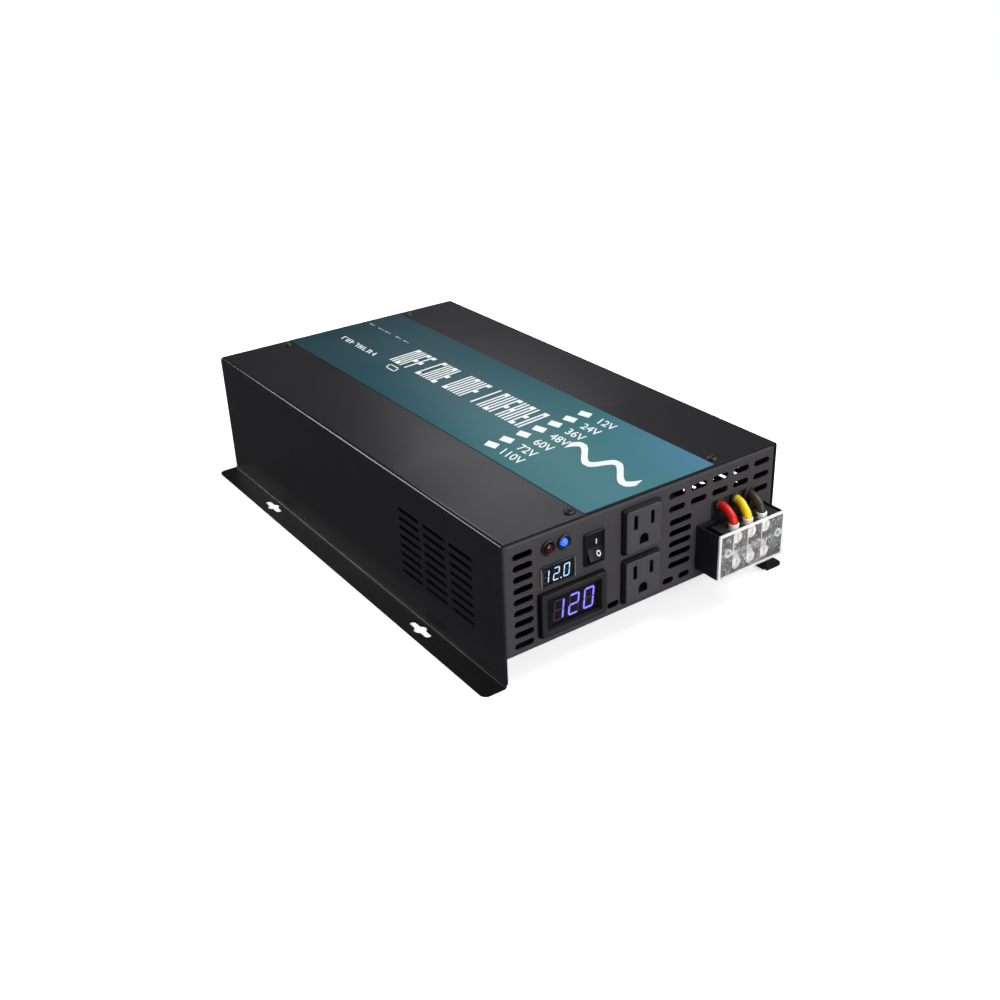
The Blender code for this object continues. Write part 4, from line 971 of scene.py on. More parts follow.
pale_glow = glowing("pale_blue_segments", die_tones, *BAR_GROUND, *pale_blue, 1.15, 0.4)
piece("dc_meter_digits", dc_lit, "case", "smoked_window", pale_glow, sharp=0)
piece("dc_meter_unlit_bars", dc_unlit, "case", "smoked_window", dim_bars, sharp=0)

ac_at = face_spot("ac_meter_body")
BEZEL_FACE = -3.95 * MM
# the first tone is painted shade for the bezel's sloping sides
bezel_tones = (0.002, 0.002, 0.003), (0.017, 0.0165, 0.0175), (0.028, 0.027, 0.03)
bezel_plastic = plastic_with_painted_side_shade("moulded_bezel", *bezel_tones, BEZEL_FACE)
ac_frame = framed_box(
    ac_at, (46.0, 27.0, 0.5, 18.0), (46.0, 27.0, 0.5, -0.1), (47.6, 28.6, 1.2, -0.1),
    (48.0, 29.0, 1.4, -0.4), (48.0, 29.0, 1.6, -1.6), (47.2, 28.2, 1.8, -3.7), (46.4, 27.4, 1.8, -4.2),
    (40.2, 22.2, 0.9, -4.2), (39.6, 21.6, 0.7, -4.0), (37.4, 19.4, 0.4, -2.6), (36.0, 18.2, 0.4, -2.4),
    (36.0, 18.2, 0.4, -1.6),
)
piece("ac_meter_frame", ac_frame, "case", "black_plastic", bezel_plastic, ["ac_meter_body"], 30)
ac_pane = framed_box(ac_at, (35.8, 18.0, 0.4, -1.65), (35.8, 18.0, 0.4, -1.95), (35.4, 17.6, 0.3, -2.05))
piece("ac_meter_pane", ac_pane, "case", "smoked_window", smoked, ["ac_meter_window"], 50)
digits_at = (ac_at[0] + 0.4 * MM, ac_at[1] + 0.2 * MM)
ac_lit, ac_unlit = digits("120", digits_at, 6.4, 12.6, 0.95, 10.9, -2.1)
violet_blue = (0.1, 0.08, 1.0), (0.44, 0.46, 1.0)
violet_glow = glowing("violet_blue_segments", die_tones, *BAR_GROUND, *violet_blue, 1.2, 0.4)
piece("ac_meter_digits", ac_lit, "case", "smoked_window", violet_glow, sharp=0)
halo, dark = digits("120", digits_at, 6.4, 12.6, 1.9, 10.9, -2.03)
dark.free()
spill = glowing("violet_spill", lambda glow: (glow.noise(1), glow.noise(1.5, 3.0)), (0.006, 0.004, 0.02),
                (0.01, 0.006, 0.03), (0.03, 0.01, 0.28), (0.06, 0.03, 0.45), 1.0, 0.3)
piece("ac_meter_glow", halo, "case", "smoked_window", spill, sharp=0)
piece("ac_meter_unlit_bars", ac_unlit, "case", "smoked_window", dim_bars, sharp=0)

# ------------------------------------------------------------------ power switch
# A snap-in rocker switch. The housing and rocker are moulded nylon, the rocker rocks on a pin
# across the housing, and its two marks, a bar for on and a ring for off, are printed in white.
TILT = math.radians(12)
ROCKER_HALF, ROCKER_VALLEY, ROCKER_DRUM = 7.8 * MM, -3.5 * MM, 5.0 * MM
EASED_SIDE = 0.35 * MM
MARK_SKIN = (-0.03 * MM, 0.05 * MM)
switch_at = face_spot("switch_housing")
housing = framed_box(
    switch_at, (13.0, 19.2, 0.5, 18.0), (13.0, 19.2, 0.5, -0.1), (14.7, 20.9, 0.9, -0.1),
    (15.0, 21.2, 1.1, -0.35), (15.0, 21.2, 1.2, -1.1), (14.3, 20.5, 1.1, -1.65),
    (13.4, 19.6, 0.9, -1.8), (12.0, 18.9, 0.6, -1.8), (11.4, 18.6, 0.5, -1.4), (11.4, 18.6, 0.5, 11.0),
)
gloss_black = moulded("glossy_nylon", (0.007, 0.0065, 0.0095), (0.012, 0.011, 0.016), 0.42, 0.2)
piece("switch_housing_shell", housing, "case", "black_plastic", gloss_black, ["switch_housing"], 40)
rocker_low, rocker_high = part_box("switch_rocker")
pivot = Vector(((rocker_low.x + rocker_high.x) / 2, FRONT_Y + 2.5 * MM, switch_at[1]))
rocker_width = (rocker_high.x - rocker_low.x) / 2
ridge = ROCKER_VALLEY - ROCKER_HALF * math.tan(TILT)


def rocker_face(z):
    """Depth of the rocker's face before it is tilted: two shallow dished wings."""
    t = abs(z) / ROCKER_HALF
    return ROCKER_VALLEY + (ridge - ROCKER_VALLEY) * (0.75 * t + 0.25 * t * t)


def rocked(x, y, z):
    """A point of the rocker, tilted to its rest with the on end pressed in."""
    turned_y = y * math.cos(TILT) + z * math.sin(TILT)
    turned_z = -y * math.sin(TILT) + z * math.cos(TILT)
    return (pivot.x + x, pivot.y + turned_y, pivot.z + turned_z)


def on_rocker(x, z, out):
    return rocked(x, rocker_face(z) - out, z)


heights = [ROCKER_HALF * (1 - step / 12) for step in range(25)]
tips = math.hypot(ROCKER_HALF, ridge)
outline = [(rocker_face(z), z) for z in heights] + arc((0, 0), tips, -123, -117, 1)
outline += arc((0, 0), ROCKER_DRUM, -60, 60, 10) + arc((0, 0), tips, 117, 123, 1)
rocker = bmesh.new()
rings = []
flat_side = rocker_width - EASED_SIDE
for x, shrink in ((-rocker_width, EASED_SIDE), (-flat_side, 0), (flat_side, 0), (rocker_width, EASED_SIDE)):
    scale = 1 - shrink / (8 * MM)
    rings.append([rocker.verts.new(rocked(x, y * scale, z * scale)) for y, z in outline])
skin(rocker, rings)
closed_ends(rocker, rings)
piece("rocker", rocker, "switch_rocker", "black_plastic", gloss_black, ["switch_rocker"], 40)
marks = bmesh.new()
prism(marks, oblong(1.1 * MM, 1.6 * MM, 1.8 * MM, 4.6 * MM), *MARK_SKIN, on_rocker)
RING_STEPS = 28
for step in range(RING_STEPS):
    t0, t1 = (2 * math.pi * (step + part) / RING_STEPS for part in (0, 1))
    corners = ((0.9, t0), (1.5, t0), (1.5, t1), (0.9, t1))
    ring = [((1.7 + r * math.cos(t)) * MM, (-4.4 + r * 1.2 * math.sin(t)) * MM) for r, t in corners]
    prism(marks, ring, *MARK_SKIN, on_rocker)
piece("rocker_marks", marks, "switch_rocker", "black_plastic", white_ink, sharp=0)

# ------------------------------------------------------------------ outlets
# Two single grounded outlets, each a moulded face with a sloping skirt, two blade slots and a
# round-topped ground hole. Bent brass contacts wait a little way down each slot.
OUTLET_FACE = -3.65 * MM
BLADE, BLADE_Z, GROUND_Z = 6.35, 5.5, -6.6
# the first tone is painted shade for the outlet's sloping skirt
outlet_tones = (0.004, 0.0036, 0.006), (0.056, 0.054, 0.058), (0.07, 0.067, 0.072)
outlet_plastic = plastic_with_painted_side_shade("moulded_charcoal", *outlet_tones, OUTLET_FACE)
brass = metal("nickel_washed_brass", (0.72, 0.62, 0.42), 0.28, (1, 1, 4))
ground = [(-3.4 * MM, -9.8 * MM), (3.4 * MM, -9.8 * MM), *arc((0, GROUND_Z * MM), 3.4 * MM, 0, 180, 18)]
wide = rounded(2.9 * MM, 9.2 * MM, 0.3 * MM, (-BLADE * MM, BLADE_Z * MM), 3)
narrow = rounded(2.7 * MM, 8.6 * MM, 0.3 * MM, (BLADE * MM, BLADE_Z * MM), 3)


def swollen(outline, factor):
    """An outline enlarged about the mean of its points."""
    x0, z0 = (sum(values) / len(outline) for values in zip(*outline))
    return [(x0 + factor * (x - x0), z0 + factor * (z - z0)) for x, z in outline]


def sleeved(bm, sections, at):
    """A closed sleeve: its last section joins its first."""
    rings = shelled(bm, sections, at)
    skin(bm, [rings[-1], rings[0]])


for level in ("upper", "lower"):
    node = f"outlet_{level}"
    at = face_spot(node)
    face_at = (at[0], FRONT_Y - 2.8 * MM, at[1])
    plate = rounded(25.9 * MM, 26.9 * MM, 1.5 * MM)
    face = blank(plate, [ground, wide, narrow], 2.4 * MM, 0.3 * MM, face_at, True)
    sleeved(face, sections_of((
        (26.5, 27.5, 1.0, 22.0), (26.5, 27.5, 1.0, -0.1), (28.6, 29.6, 1.5, -0.1), (29.0, 30.0, 1.7, -0.4),
        (29.0, 30.0, 1.8, -1.4), (25.85, 26.85, 1.6, -3.75), (25.3, 26.3, 1.4, -3.6), (25.3, 26.3, 1.2, 22.0),
    )), at)
    piece(f"outlet_{level}_face", face, "case", "grey_plastic", outlet_plastic, [node], 30)
    wells = bmesh.new()
    for hole in (ground, wide, narrow):
        walls = ((1.22, -1.5), (1.22, 11.0), (1.04, 11.0), (1.04, -1.5))
        sleeved(wells, [(swollen(hole, factor), depth * MM) for factor, depth in walls], at)
        back_wall = swollen(hole, 1.25)
        closed_ends(wells, shelled(wells, ((back_wall, 11.1 * MM), (back_wall, 12.0 * MM)), at))
    piece(f"outlet_{level}_wells", wells, "case", "black_plastic", black_plastic, sharp=40)
    leaves = bmesh.new()
    for x, z, tall in ((-BLADE, BLADE_Z, 7.4), (BLADE, BLADE_Z, 7.0), (0.0, -6.8, 5.2)):
        for side in (-1, 1):
            bend = ((1.15, 1.6), (0.45, 3.4), (0.85, 8.0), (1.15, 8.0), (0.75, 3.4), (1.3, 1.6))
            outline = [(at[0] + (x + side * across) * MM, FRONT_Y + depth * MM) for across, depth in bend]
            low, high = (at[1] + (z + end * tall / 2) * MM for end in (-1, 1))
            prism(leaves, outline, low, high, lambda px, py, pz: (px, py, pz))
    piece(f"outlet_{level}_contacts", leaves, "case", "brass", brass, sharp=30)

# ------------------------------------------------------------------ AC terminal box
# A small folded steel box, spot-welded to the panel, holds a three-pole barrier block. Each pole
# has a nickel-washed plate with two slotted screws, and a crimped lug sits under the upper one.
POLES = ("red", "yellow", "black")
PLATE_FACE, NECK_FACE, PLATE = -12.75 * MM, -12.7 * MM, 0.3 * MM
WASHER_SIDE, WASHER_THICK = 8.4 * MM, 1.6 * MM


def softened(name, width):
    """A copy of a CAD node's shape with its loose triangles merged and its edges eased."""
    bm = bmesh.new()
    bm.from_mesh(nodes[name].data)
    merge(bm, 1e-6)
    bmesh.ops.dissolve_limit(bm, angle_limit=math.radians(1), verts=bm.verts, edges=bm.edges)
    edges = [e for e in bm.edges if e.is_manifold and e.calc_face_angle() > math.radians(30)]
    bmesh.ops.bevel(bm, geom=edges, offset=width * MM, segments=2, profile=0.6, affect="EDGES")
    return bm


def slotted(x, y, radius):
    """Height over the rim of a flat cheese head with one driver slot across it."""
    r = math.hypot(x, y) / radius
    eased_rim = 0.09 * radius * min(1.0, (1 - r) / 0.16)
    return eased_rim - (0.36 * radius if abs(x) < 0.13 * radius else 0.0)


box_shell = softened("terminal_box", 0.2)
piece("terminal_box_shell", box_shell, "case", "case_paint", case_paint, ["terminal_box"], 40)
bakelite = moulded("black_bakelite", (0.012, 0.0115, 0.013), (0.03, 0.028, 0.03), 0.42, 0.25)
block = softened("terminal_block", 0.15)
piece("barrier_block", block, "case", "black_plastic", bakelite, ["terminal_block"], 40)
nickel = metal("nickel_plate", (0.78, 0.76, 0.72), 0.24, (1, 1, 6))
zinc = metal("bright_zinc", (0.97, 0.96, 0.92), 0.36, (1, 1, 6), metallic=0.12)
tin = metal("tinned_copper", (0.95, 0.93, 0.88), 0.36, metallic=0.15)
# painted glints: orange flecks are mixed into the tin and zinc colour
for plating, spot in ((tin, 2.2), (zinc, 2.8)):
    orange_glint_flecks = plating.noise(spot, 2.0).above(0.58, 0.68)
    plating.put("Base Color", plating.mix(orange_glint_flecks, (0.96, 0.94, 0.9), (0.9, 0.4, 0.14)))
pole_x = [centre_of(f"terminal_screw_{pole}_upper").x for pole in POLES]
row_z = [centre_of(f"terminal_screw_red_{row}").z for row in ("lower", "upper")]
row_middle, row_gap = sum(row_z) / 2, row_z[1] - row_z[0]
plates = bmesh.new()
for x in pole_x:
    shapes = [(rounded(9.8 * MM, 10.0 * MM, 0.6 * MM, (x, z)), PLATE_FACE, PLATE) for z in row_z]
    neck = rounded(5.0 * MM, row_gap - 8.7 * MM, 0.3 * MM, (x, row_middle))
    for outline, face, thick in (*shapes, (neck, NECK_FACE, 0.28 * MM)):
        closed_ends(plates, shelled(plates, ((outline, face + thick), (outline, face)), (0, 0)))
piece("terminal_plates", plates, "case", "brass", zinc, sharp=40)
square_washer = bmesh.new()
outline = rounded(WASHER_SIDE, WASHER_SIDE, 0.5 * MM)
rings = [[square_washer.verts.new((x, y, z)) for x, y in outline] for z in (-WASHER_THICK, 0.0)]
skin(square_washer, rings)
closed_ends(square_washer, rings)
grid = {
    "Columns": 3,
    "Rows": 2,
    "Width": pole_x[2] - pole_x[0],
    "Height": row_gap,
    "Plane_Turn": (math.pi / 2, 0.0, 0.0),
    "Centre": (pole_x[1], FRONT_Y - 15.0 * MM, row_middle),
}
cheese_head = master("cheese_head", recessed_head(3.9, 2.2, slotted, 16, 40))
terminal_screws = fixings.grow(zinc, Piece=cheese_head, **grid)
screw_names = [f"terminal_screw_{pole}_{row}" for pole in POLES for row in ("upper", "lower")]
piece("terminal_screws", terminal_screws, "case", "brass", zinc, screw_names, 35)
washers = fixings.grow(zinc, Piece=master("square_washer", square_washer), **grid)
piece("terminal_washers", washers, "case", "brass", zinc, sharp=40)
refinish(tin, *[f"lug_{pole}" for pole in POLES])

# ------------------------------------------------------------------ terminal cover
# A clear acrylic plate pushes onto the block with two pegs and keeps fingers off the screws. Its
# sawn edges look white, and its face has the haze of handled acrylic.
plate_low, plate_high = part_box("terminal_cover")
half = (plate_high - plate_low) / 2
acrylic = Finish("clear_acrylic", Specular_IOR_Level=0.9, Coat_Weight=0.3)
across = acrylic.along("X") - (plate_low + half).x
up = acrylic.along("Z") - (plate_low + half).z
edge_low = across.above(1.9 * MM - half.x, 1.2 * MM - half.x)
edge_high = across.above(half.x - 0.7 * MM, half.x - 0.4 * MM)
edge_top = up.above(half.z - 1.7 * MM, half.z - 1.1 * MM)
edge_foot = up.above(0.9 * MM - half.z, 0.5 * MM - half.z)
rim = edge_low.math("MAXIMUM", edge_top).math("MAXIMUM", edge_foot * 0.8).math("MAXIMUM", edge_high * 0.5)
crease = abs(up - 0.6 * MM).above(1.0 * MM, 0.6 * MM) * across.above(half.x - 7 * MM, half.x - 8 * MM)
haze = acrylic.noise(9, 4.0).above(0.4, 0.7)
glare = acrylic.noise(2.4, 3.0).above(0.58, 0.72)
acrylic.put("Alpha", 0.07 + 0.88 * rim + (0.08 * haze + 0.45 * glare + 0.16 * crease) * (1 - rim))
acrylic.dress(haze, (0.9, 0.91, 0.92), (0.97, 0.98, 0.98), 0.08 + 0.14 * acrylic.noise(2, 3.0),
              (acrylic.noise(14), 0.25, 0.5))
lid = softened("terminal_cover", 0.12)
piece("clear_terminal_cover", lid, "terminal_cover", "clear_plastic", acrylic, ["terminal_cover"], 40)
bosses = bmesh.new()
for side in (-1, 1):
    at = (centre_of("terminal_block").x + side * 21.4 * MM, FRONT_Y, 43.0 * MM)
    boss = [(1.5, -19.45), (1.5, -17.4), (2.6, -17.4), (2.9, -17.8), (2.9, -19.45), (1.5, -19.45)]
    lathe(bosses, boss, at, steps=32)
# painted highlight: the bosses are coloured near-white so that they show as bright C-shaped glints
painted_boss_glint = Finish("frosted_boss", Specular_IOR_Level=0.6, Alpha=0.85)
painted_boss_glint.dress(painted_boss_glint.noise(2, 3.0), (0.5, 0.51, 0.52), (0.98, 0.98, 0.98), 0.3 + 0.2 * painted_boss_glint.noise(1))
piece("terminal_cover_bosses", bosses, "terminal_cover", "clear_plastic", painted_boss_glint, sharp=40)

# ------------------------------------------------------------------ output leads
# Three silicone-covered leads come out through the panel and bend down into the lugs. Both ends
# are held, and behind the panel each lead wears a black woven sleeve.
LEAD_RADIUS = 2.8
LUG_TOP, LUG_DEPTH, EXIT_Z = 56.4, -13.3, 65.3
exits = [x + (1.4 + shift) * MM for x, shift in zip(pole_x, (0.0, 1.2, 0.3))]
leads = Repeater("lead_on_route", Route="Object", Radius="Float")
route = leads.node("GeometryNodeObjectInfo", {}, leads.given("Route"), out="Geometry")
finer = leads.node("GeometryNodeResampleCurve", {}, route, Count=72)
section = leads.node("GeometryNodeCurvePrimitiveCircle", {}, Resolution=28, Radius=leads.given("Radius"))
leads.end(leads.node("GeometryNodeCurveToMesh", {}, finer, section, Fill_Caps=True))


def silicone(name, colour, lighter):
    """Extruded silicone: soft, a little dusty, with the faint rings that the die leaves."""
    rubber = Finish(name, Specular_IOR_Level=0.45)
    cloud, dust = rubber.noise(5, 3.0), rubber.noise(0.5, 2.0)
    rough = 0.32 + 0.18 * cloud + 0.06 * dust
    relief = (dust, 0.02, 0.3, rubber.bump(rubber.noise(3), 0.08, 0.3))
    return rubber.dress(cloud * 0.7 + dust * 0.2, colour, lighter, rough, relief)


def banded(finish, kind, direction, scale, **more):
    """A wave pattern of bands or rings over a finish."""
    settings = {"wave_type": kind, f"{kind.lower()}_direction": direction}
    return finish.node("ShaderNodeTexWave", settings, finish.place, Scale=scale, out="Fac", **more)


def run_lead(points, radius, finish):
    """A lead through points of X, depth from the panel and height, the last two in millimetres."""
    curve = bpy.data.curves.new("route", "CURVE")
    curve.dimensions = "3D"
    spline = curve.splines.new("NURBS")
    spline.points.add(len(points) - 1)
    spline.order_u = 3
    spline.use_endpoint_u = True
    for knot, (x, depth, z) in zip(spline.points, points):
        knot.co = (x, FRONT_Y + depth * MM, z * MM, 1.0)
    return merge(leads.grow(finish, Route=bpy.data.objects.new("route", curve), Radius=radius * MM))


skins = {
    "red": silicone("red_silicone", (0.6, 0.004, 0.003), (0.78, 0.014, 0.008)),
    "yellow": silicone("yellow_silicone", (0.86, 0.6, 0.0), (0.95, 0.75, 0.02)),
    "black": silicone("olive_black_silicone", (0.02, 0.019, 0.009), (0.05, 0.047, 0.03)),
}
woven = Finish("woven_sleeve")
weave = banded(woven, "BANDS", "DIAGONAL", 900.0)
woven.dress(weave, (0.006, 0.006, 0.007), (0.018, 0.018, 0.02), 0.6, (weave, 0.1, 0.5))
for pole, x, exit_x in zip(POLES, pole_x, exits):
    outer = [
        (exit_x, 3.0, EXIT_Z),
        (exit_x, -0.5, EXIT_Z),
        (0.7 * exit_x + 0.3 * x, -5.5, 64.7),
        (x + 0.3 * MM, -10.0, 62.6),
        (x, -12.9, 60.2),
        (x, LUG_DEPTH, LUG_TOP + 0.4),
    ]
    lead = run_lead(outer, LEAD_RADIUS, skins[pole])
    piece(f"lead_{pole}", lead, "case", f"{pole}_insulation", skins[pole], [f"wire_{pole}"])
    inner = [(exit_x, y, z) for y, z in ((38.0, 40.4), (37.6, 50.0), (30.0, 61.5), (14.0, 65.4), (2.6, 65.6))]
    sleeve = run_lead(inner, LEAD_RADIUS + 0.12, woven)
    piece(f"lead_sleeve_{pole}", sleeve, "case", f"{pole}_insulation", woven)
    crimp = lathe(bmesh.new(), [
        (2.2, 0.0), (3.1, 0.0), (3.1, 1.5), (3.35, 1.8), (3.35, 3.3), (2.9, 3.6), (2.2, 3.6), (2.2, 0.0),
    ], (x, FRONT_Y + LUG_DEPTH * MM, (LUG_TOP - 1.6) * MM), "Z", 28)
    piece(f"crimp_sleeve_{pole}", crimp, "case", "bright_steel", tin, sharp=40)
refinish(moulded("header_nylon", (0.02, 0.02, 0.021), (0.03, 0.03, 0.031), 0.42), "output_header")
rubber = moulded("grommet_rubber", (0.01, 0.0095, 0.011), (0.02, 0.019, 0.021), 0.55)
strip_outline = rounded(41 * MM, 17 * MM, 2 * MM, ((pole_x[0] + pole_x[2]) / 2 - 1 * MM, 61.6 * MM))
strip = blank(strip_outline, [], 1.6 * MM, 0.3 * MM, (0, FRONT_Y + 2.4 * MM, 0), True)
for x in exits:
    lathe(strip, [
        (2.9, 2.0), (2.9, -0.9), (3.2, -1.2), (3.9, -1.2), (4.4, -0.8), (4.5, 2.0), (2.9, 2.0),
    ], (x, FRONT_Y, EXIT_Z * MM), steps=36)
piece("lead_grommet", strip, "case", "black_plastic", rubber, sharp=40)

# ------------------------------------------------------------------ fans
# Two 60 mm fans blow out through the rear panel. Each has a moulded frame, a seven-bladed rotor
# on its hub, a chromed wire guard and four screws. The rotors turn.
HUB = 13.0
SCREW_PITCH = 50 * MM
BACKWARDS = (-math.pi / 2, 0.0, 0.0)
spinner = Repeater("blades_round_a_hub", Piece="Object", Count="Int", First_Turn="Float", Centre="Vector")
row = spinner.node("GeometryNodeMeshLine", {}, Count=spinner.given("Count"), Offset=(0.0, 0.0, 0.0))
number = spinner.node("GeometryNodeInputIndex", {})
turn = number * (2 * math.pi) / spinner.given("Count") + spinner.given("First Turn")
about_y = spinner.vector(y=turn)
ring = spinner.node("GeometryNodeInstanceOnPoints", {}, row, Instance=spinner.shape(), Rotation=about_y)
spinner.end(spinner.moved(ring))

guards = Repeater("wire_guard", Rings="Int", First_Radius="Float", Ring_Spacing="Float", Spokes="Int",
                  Spoke_Reach="Float", Wire_Radius="Float", Centre="Vector")
thickness, first_radius, spoke_count = (guards.given(k) for k in ("Wire Radius", "First Radius", "Spokes"))
wire = guards.node("GeometryNodeCurvePrimitiveCircle", {}, Resolution=8, Radius=thickness)
hoop = guards.node("GeometryNodeCurvePrimitiveCircle", {}, Resolution=72, Radius=1.0)
hoops_at = guards.node("GeometryNodeMeshLine", {}, Count=guards.given("Rings"), Offset=(0.0, 0.0, 0.0))
index = guards.node("GeometryNodeInputIndex", {})
hoop_radius = first_radius + index * guards.given("Ring Spacing")
grown = guards.vector(hoop_radius, hoop_radius, 1.0)
hoops = guards.node("GeometryNodeInstanceOnPoints", {}, hoops_at, Instance=hoop, Scale=grown)
hoops = guards.node("GeometryNodeRealizeInstances", {}, hoops)
spoke_ends = {"Start": guards.vector(first_radius), "End": guards.vector(guards.given("Spoke Reach"))}
spoke = guards.node("GeometryNodeCurvePrimitiveLine", {}, **spoke_ends)
spokes_at = guards.node("GeometryNodeMeshLine", {}, Count=spoke_count, Offset=(0.0, 0.0, 0.0))
spoke_turn = guards.vector(z=index * (2 * math.pi) / spoke_count + math.pi / 4)
spokes = guards.node("GeometryNodeInstanceOnPoints", {}, spokes_at, Instance=spoke, Rotation=spoke_turn)
spokes = guards.node("GeometryNodeRealizeInstances", {}, spokes)
behind = guards.vector(z=thickness * -1.5)
spokes = guards.node("GeometryNodeTransform", {}, spokes, Translation=behind)
both = guards.node("GeometryNodeJoinGeometry", {}, hoops)
guards.feed(both.socket.node.inputs[0], spokes)
guards.end(guards.moved(guards.node("GeometryNodeCurveToMesh", {}, both, wire), Rotation=BACKWARDS))

chrome = metal("bright_chrome", (0.8, 0.8, 0.8), 0.14)
fan_plastic = moulded("fan_frame_nylon", (0.013, 0.0125, 0.0135), (0.026, 0.025, 0.027), 0.4)
rotor_plastic = moulded("fan_rotor_nylon", (0.016, 0.0155, 0.017), (0.03, 0.029, 0.031), 0.34)


def fan_blade(spans=7, chords=9):
    """One cambered blade from the hub out, its pitch easing towards the tip."""
    bm = bmesh.new()
    grid = {}
    for side in (-1, 1):
        for span in range(spans):
            t = span / (spans - 1)
            radius, chord, pitch = 11.8 + 15.4 * t, 10.5 + 9.0 * t, math.radians(50 - 22 * t)
            for step in range(chords):
                s = step / (chords - 1)
                along = (s - 0.5) * chord
                out = side * 0.45 * math.sqrt(max(0.0, 1 - (2 * s - 1) ** 4)) + math.sin(math.pi * s)
                y = along * math.sin(pitch) + out * math.cos(pitch)
                aside = along * math.cos(pitch) - out * math.sin(pitch) + 2.5 * t * t
                point = Vector((math.sqrt(radius ** 2 - aside ** 2), y, aside)) * MM
                grid[side, span, step] = bm.verts.new(point)

    def quads(corners_at):
        for corner in ((0, 0), (0, 1), (1, 1), (1, 0)):
            yield grid[corners_at(*corner)]

    for span in range(spans - 1):
        for step in range(chords - 1):
            for side in (-1, 1):
                bm.faces.new(list(quads(lambda a, b: (side, span + a, step + b))))
        for step in (0, chords - 1):
            bm.faces.new(list(quads(lambda a, b: (2 * a - 1, span + b, step))))
    for step in range(chords - 1):
        for span in (0, spans - 1):
            bm.faces.new(list(quads(lambda a, b: (2 * a - 1, span, step + b))))
    return merge(bm, 1e-6)


screw_shape = master("fan_screw", recessed_head(2.9, 0.4, cross_recess, 12, 40))
blade_shape = master("fan_blade", fan_blade())
for side, spot in fan_spots.items():
    low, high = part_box(f"fan_{side}_rotor")
    middle = (spot.x, (low.y + high.y) / 2, spot.z)
    blades = spinner.grow(rotor_plastic, Piece=blade_shape, Count=7, First_Turn=0.2, Centre=middle)
    depth = (high.y - low.y) / 2 / MM - 0.2
    lathe(blades, [
        (0.0, -depth), (HUB - 0.6, -depth), (HUB, -depth + 0.6), (HUB, depth - 1.4), (HUB - 0.5, depth - 0.5),
        (HUB - 1.4, depth), (8.4, depth), (8.2, depth - 0.25), (0.0, depth - 0.25),
    ], middle, steps=56)
    rotor = f"fan_{side}_rotor"
    piece(f"fan_{side}_impeller", blades, rotor, "black_plastic", rotor_plastic, [rotor], 35)
    refinish(fan_plastic, f"fan_{side}_frame")
    guard = guards.grow(
        chrome,
        Rings=4,
        First_Radius=7.5 * MM,
        Ring_Spacing=6.4 * MM,
        Spokes=4,
        Spoke_Reach=34.0 * MM,
        Wire_Radius=0.75 * MM,
        Centre=(spot.x, REAR_Y + 1.0 * MM, spot.z),
    )
    piece(f"fan_{side}_wire_guard", guard, "case", "bright_steel", chrome, [f"fan_{side}_guard"], 60)
    fixing = fixings.grow(
        nickel,
        Piece=screw_shape,
        Columns=2,
        Rows=2,
        Width=SCREW_PITCH,
        Height=SCREW_PITCH,
        Plane_Turn=BACKWARDS,
        Centre=(spot.x, REAR_Y + 0.1 * MM, spot.z),
    )
    piece(f"fan_{side}_screws", fixing, "case", "bright_steel", nickel, sharp=35)

# ------------------------------------------------------------------ DC terminals
# Two M8 brass studs pass through the rear panel in ribbed insulators, red for positive and black
# for negative. Each has a washer, a spring washer and a hexagon nut, and a rolled thread.
def ring_round(bm, at, y, steps, radius_at):
    """A ring of points about a stud's axis, in millimetres; its radius follows the turn."""
    turns = [2 * math.pi * step / steps for step in range(steps)]
    spokes = [(radius_at(t) * math.cos(t), radius_at(t) * math.sin(t)) for t in turns]
    return [bm.verts.new(Vector(at) + Vector((x, y, z)) * MM) for x, z in spokes]


def threaded(bm, at, radius, start, end, pitch, around=28):
    """A rod along Y with a helical thread whose outer end runs out to nothing."""
    count = int((end - start) / pitch * 8)
    rings = []
    for ring in range(count + 1):
        y = start + (end - start) * ring / count
        core = radius - (1 - min(1.0, (end - y) / pitch)) * 0.5 * pitch
        rings.append(ring_round(bm, at, y, around, lambda t: (
            core - 0.55 * pitch * abs(2 * ((y / pitch - t / (2 * math.pi)) % 1.0) - 1)
        )))
    skin(bm, rings)
    closed_ends(bm, rings)


def hexagon_nut(bm, at, flats, bore, start, end, steps=48):
    """A nut along Y: six flats whose corners are turned off at both faces, and a bore."""
    sixth = math.pi / 3
    corner = flats / 2 / math.cos(sixth / 2)
    chamfer = 0.5 * (corner - flats / 2)

    def side(t, limit):
        return min(flats / 2 / math.cos((t + sixth / 2) % sixth - sixth / 2), limit)

    levels = ((start, flats / 2), (start + chamfer, corner), (end - chamfer, corner), (end, flats / 2))
    rings = [ring_round(bm, at, y, steps, lambda t: side(t, limit)) for y, limit in levels]
    near, far = (ring_round(bm, at, y, steps, lambda t: bore) for y in (start, end))
    skin(bm, [near, *rings, far, near])


def washer(bm, at, outer, bore, start, end):
    lathe(bm, [(bore, start), (outer, start), (outer, end), (bore, end), (bore, start)], at, steps=40)


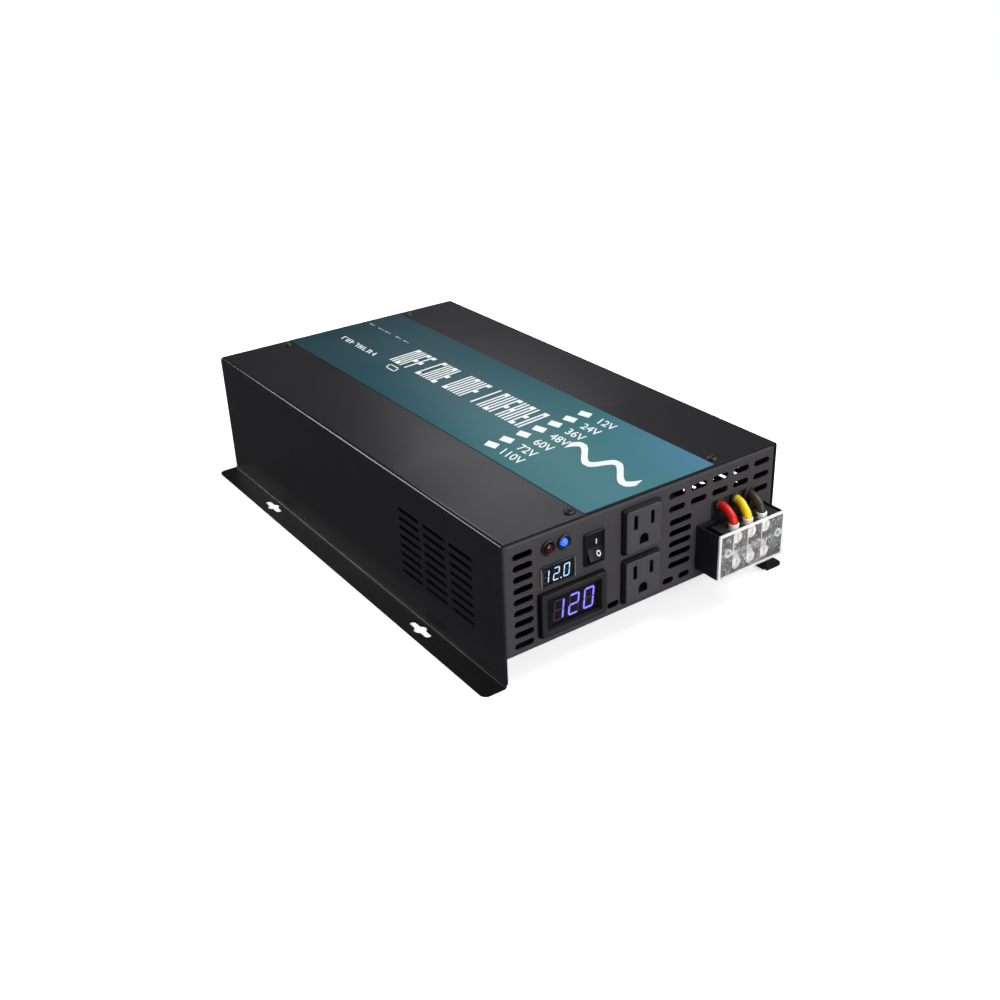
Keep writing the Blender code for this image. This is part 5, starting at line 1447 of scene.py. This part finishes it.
red_plastic = moulded("moulded_red", (0.5, 0.006, 0.006), (0.62, 0.02, 0.016), 0.3)
bushes = {"positive": ("red_plastic", red_plastic), "negative": ("black_plastic", black_plastic)}
for name, spot in stud_spots.items():
    at = (spot.x, REAR_Y, spot.z)
    profile = [(4.4, -8), (6.5, -8), (6.5, 0.2), (10.6, 0.2), (11, 0.7)]
    for rib in range(3):
        y = 1.3 + 1.45 * rib
        profile += [(11, y), (10.3, y + 0.35), (10.3, y + 0.7), (11, y + 1.05)]
    profile += [(10.8, 5.6), (10.2, 5.95), (4.4, 5.95), (4.4, -8)]
    slot, plastic = bushes[name]
    bush = lathe(bmesh.new(), profile, at)
    piece(f"dc_{name}_bush", bush, "case", slot, plastic, [f"dc_{name}_insulator"], 40)
    hardware = bmesh.new()
    washer(hardware, at, 8.2, 4.2, 6.1, 7.3)
    washer(hardware, at, 7.0, 4.2, 7.3, 8.6)
    hexagon_nut(hardware, at, 13, 3.6, 8.6, 14.9)
    hexagon_nut(hardware, at, 13, 3.6, -12, -8.4)
    threaded(hardware, at, 4, -11.5, 26, 1.25)
    piece(f"dc_{name}_hardware", merge(hardware), "case", "bright_steel", nickel, [f"dc_{name}_stud"], 35)

earth = bmesh.new()
washer(earth, earth_at, 4.6, 2.6, 0.1, 0.7)
hexagon_nut(earth, earth_at, 8, 2.2, 0.7, 4.6)
threaded(earth, earth_at, 2.5, -8, 12, 0.8, 20)
piece("earth_stud", merge(earth), "case", "brass", brass, ["ground_stud"], 35)
signs = bmesh.new()
sign_bars = (-20, 75.5, 5, 1.2), (-20, 77.05, 1.2, 1.9), (-20, 73.95, 1.2, 1.9), (20, 75.5, 5, 1.2)
for x, z, wide, tall in sign_bars:
    bar = oblong(x - wide / 2, z - tall / 2, x + wide / 2, z + tall / 2)
    prism(signs, bar, 0.01, 0.06, lambda px, pz, py: (px * MM, REAR_Y + py * MM, pz * MM))
piece("polarity_signs", signs, "case", "white_plastic", white_ink, sharp=0)

# ------------------------------------------------------------------ power stage
# The works stand on a black-masked board: finned aluminium sinks along both sides, a shell-core
# transformer, a toroidal choke, two reservoir capacitors and an upright control board.
laminate = Finish("black_solder_mask")
cells = {"feature": "DISTANCE_TO_EDGE"}
tracks = laminate.node("ShaderNodeTexVoronoi", cells, laminate.place, Scale=120.0, out="Distance")
mask = tracks.above(0.02, 0.06)
laminate.dress(mask, (0.012, 0.028, 0.016), (0.005, 0.014, 0.008),
               0.3 + 0.12 * laminate.noise(4), (mask, 0.04, 0.5))
refinish(laminate, "main_board", "control_board")
extruded = metal("black_anodised_aluminium", (0.03, 0.03, 0.033), 0.4, (1, 0.05, 1))
refinish(extruded, "heatsink_left", "heatsink_right")
ferrite = Finish("ground_ferrite", Specular_IOR_Level=0.4)
pores = ferrite.noise(0.8, 3.0)
ferrite.dress(pores, (0.03, 0.03, 0.032), (0.07, 0.07, 0.073), 0.5 + 0.2 * pores, (pores, 0.05, 0.5))
refinish(ferrite, "transformer_core")
taped = Finish("taped_winding")
turns = banded(taped, "BANDS", "Z", 160.0, Distortion=1.5)
taped.dress(turns, (0.16, 0.06, 0.015), (0.32, 0.15, 0.04), 0.3 + 0.15 * taped.noise(6), (turns, 0.15, 0.5))
refinish(taped, "transformer_winding")
wound = Finish("enamelled_turns")
strands = banded(wound, "RINGS", "Z", 300.0, Distortion=1.0)
wound.dress(strands, (0.12, 0.03, 0.008), (0.3, 0.1, 0.03), 0.24 + 0.12 * wound.noise(3), (strands, 0.2, 0.6))
refinish(wound, "output_choke")
bare_copper = metal("bare_copper", (0.72, 0.36, 0.2), 0.32, (1, 1, 5))
refinish(bare_copper, "bus_bar_positive", "bus_bar_negative")
sleeve_film = moulded("capacitor_sleeve_film", (0.008, 0.012, 0.035), (0.014, 0.02, 0.05), 0.3)
refinish(sleeve_film, "high_voltage_capacitor", "input_capacitor")

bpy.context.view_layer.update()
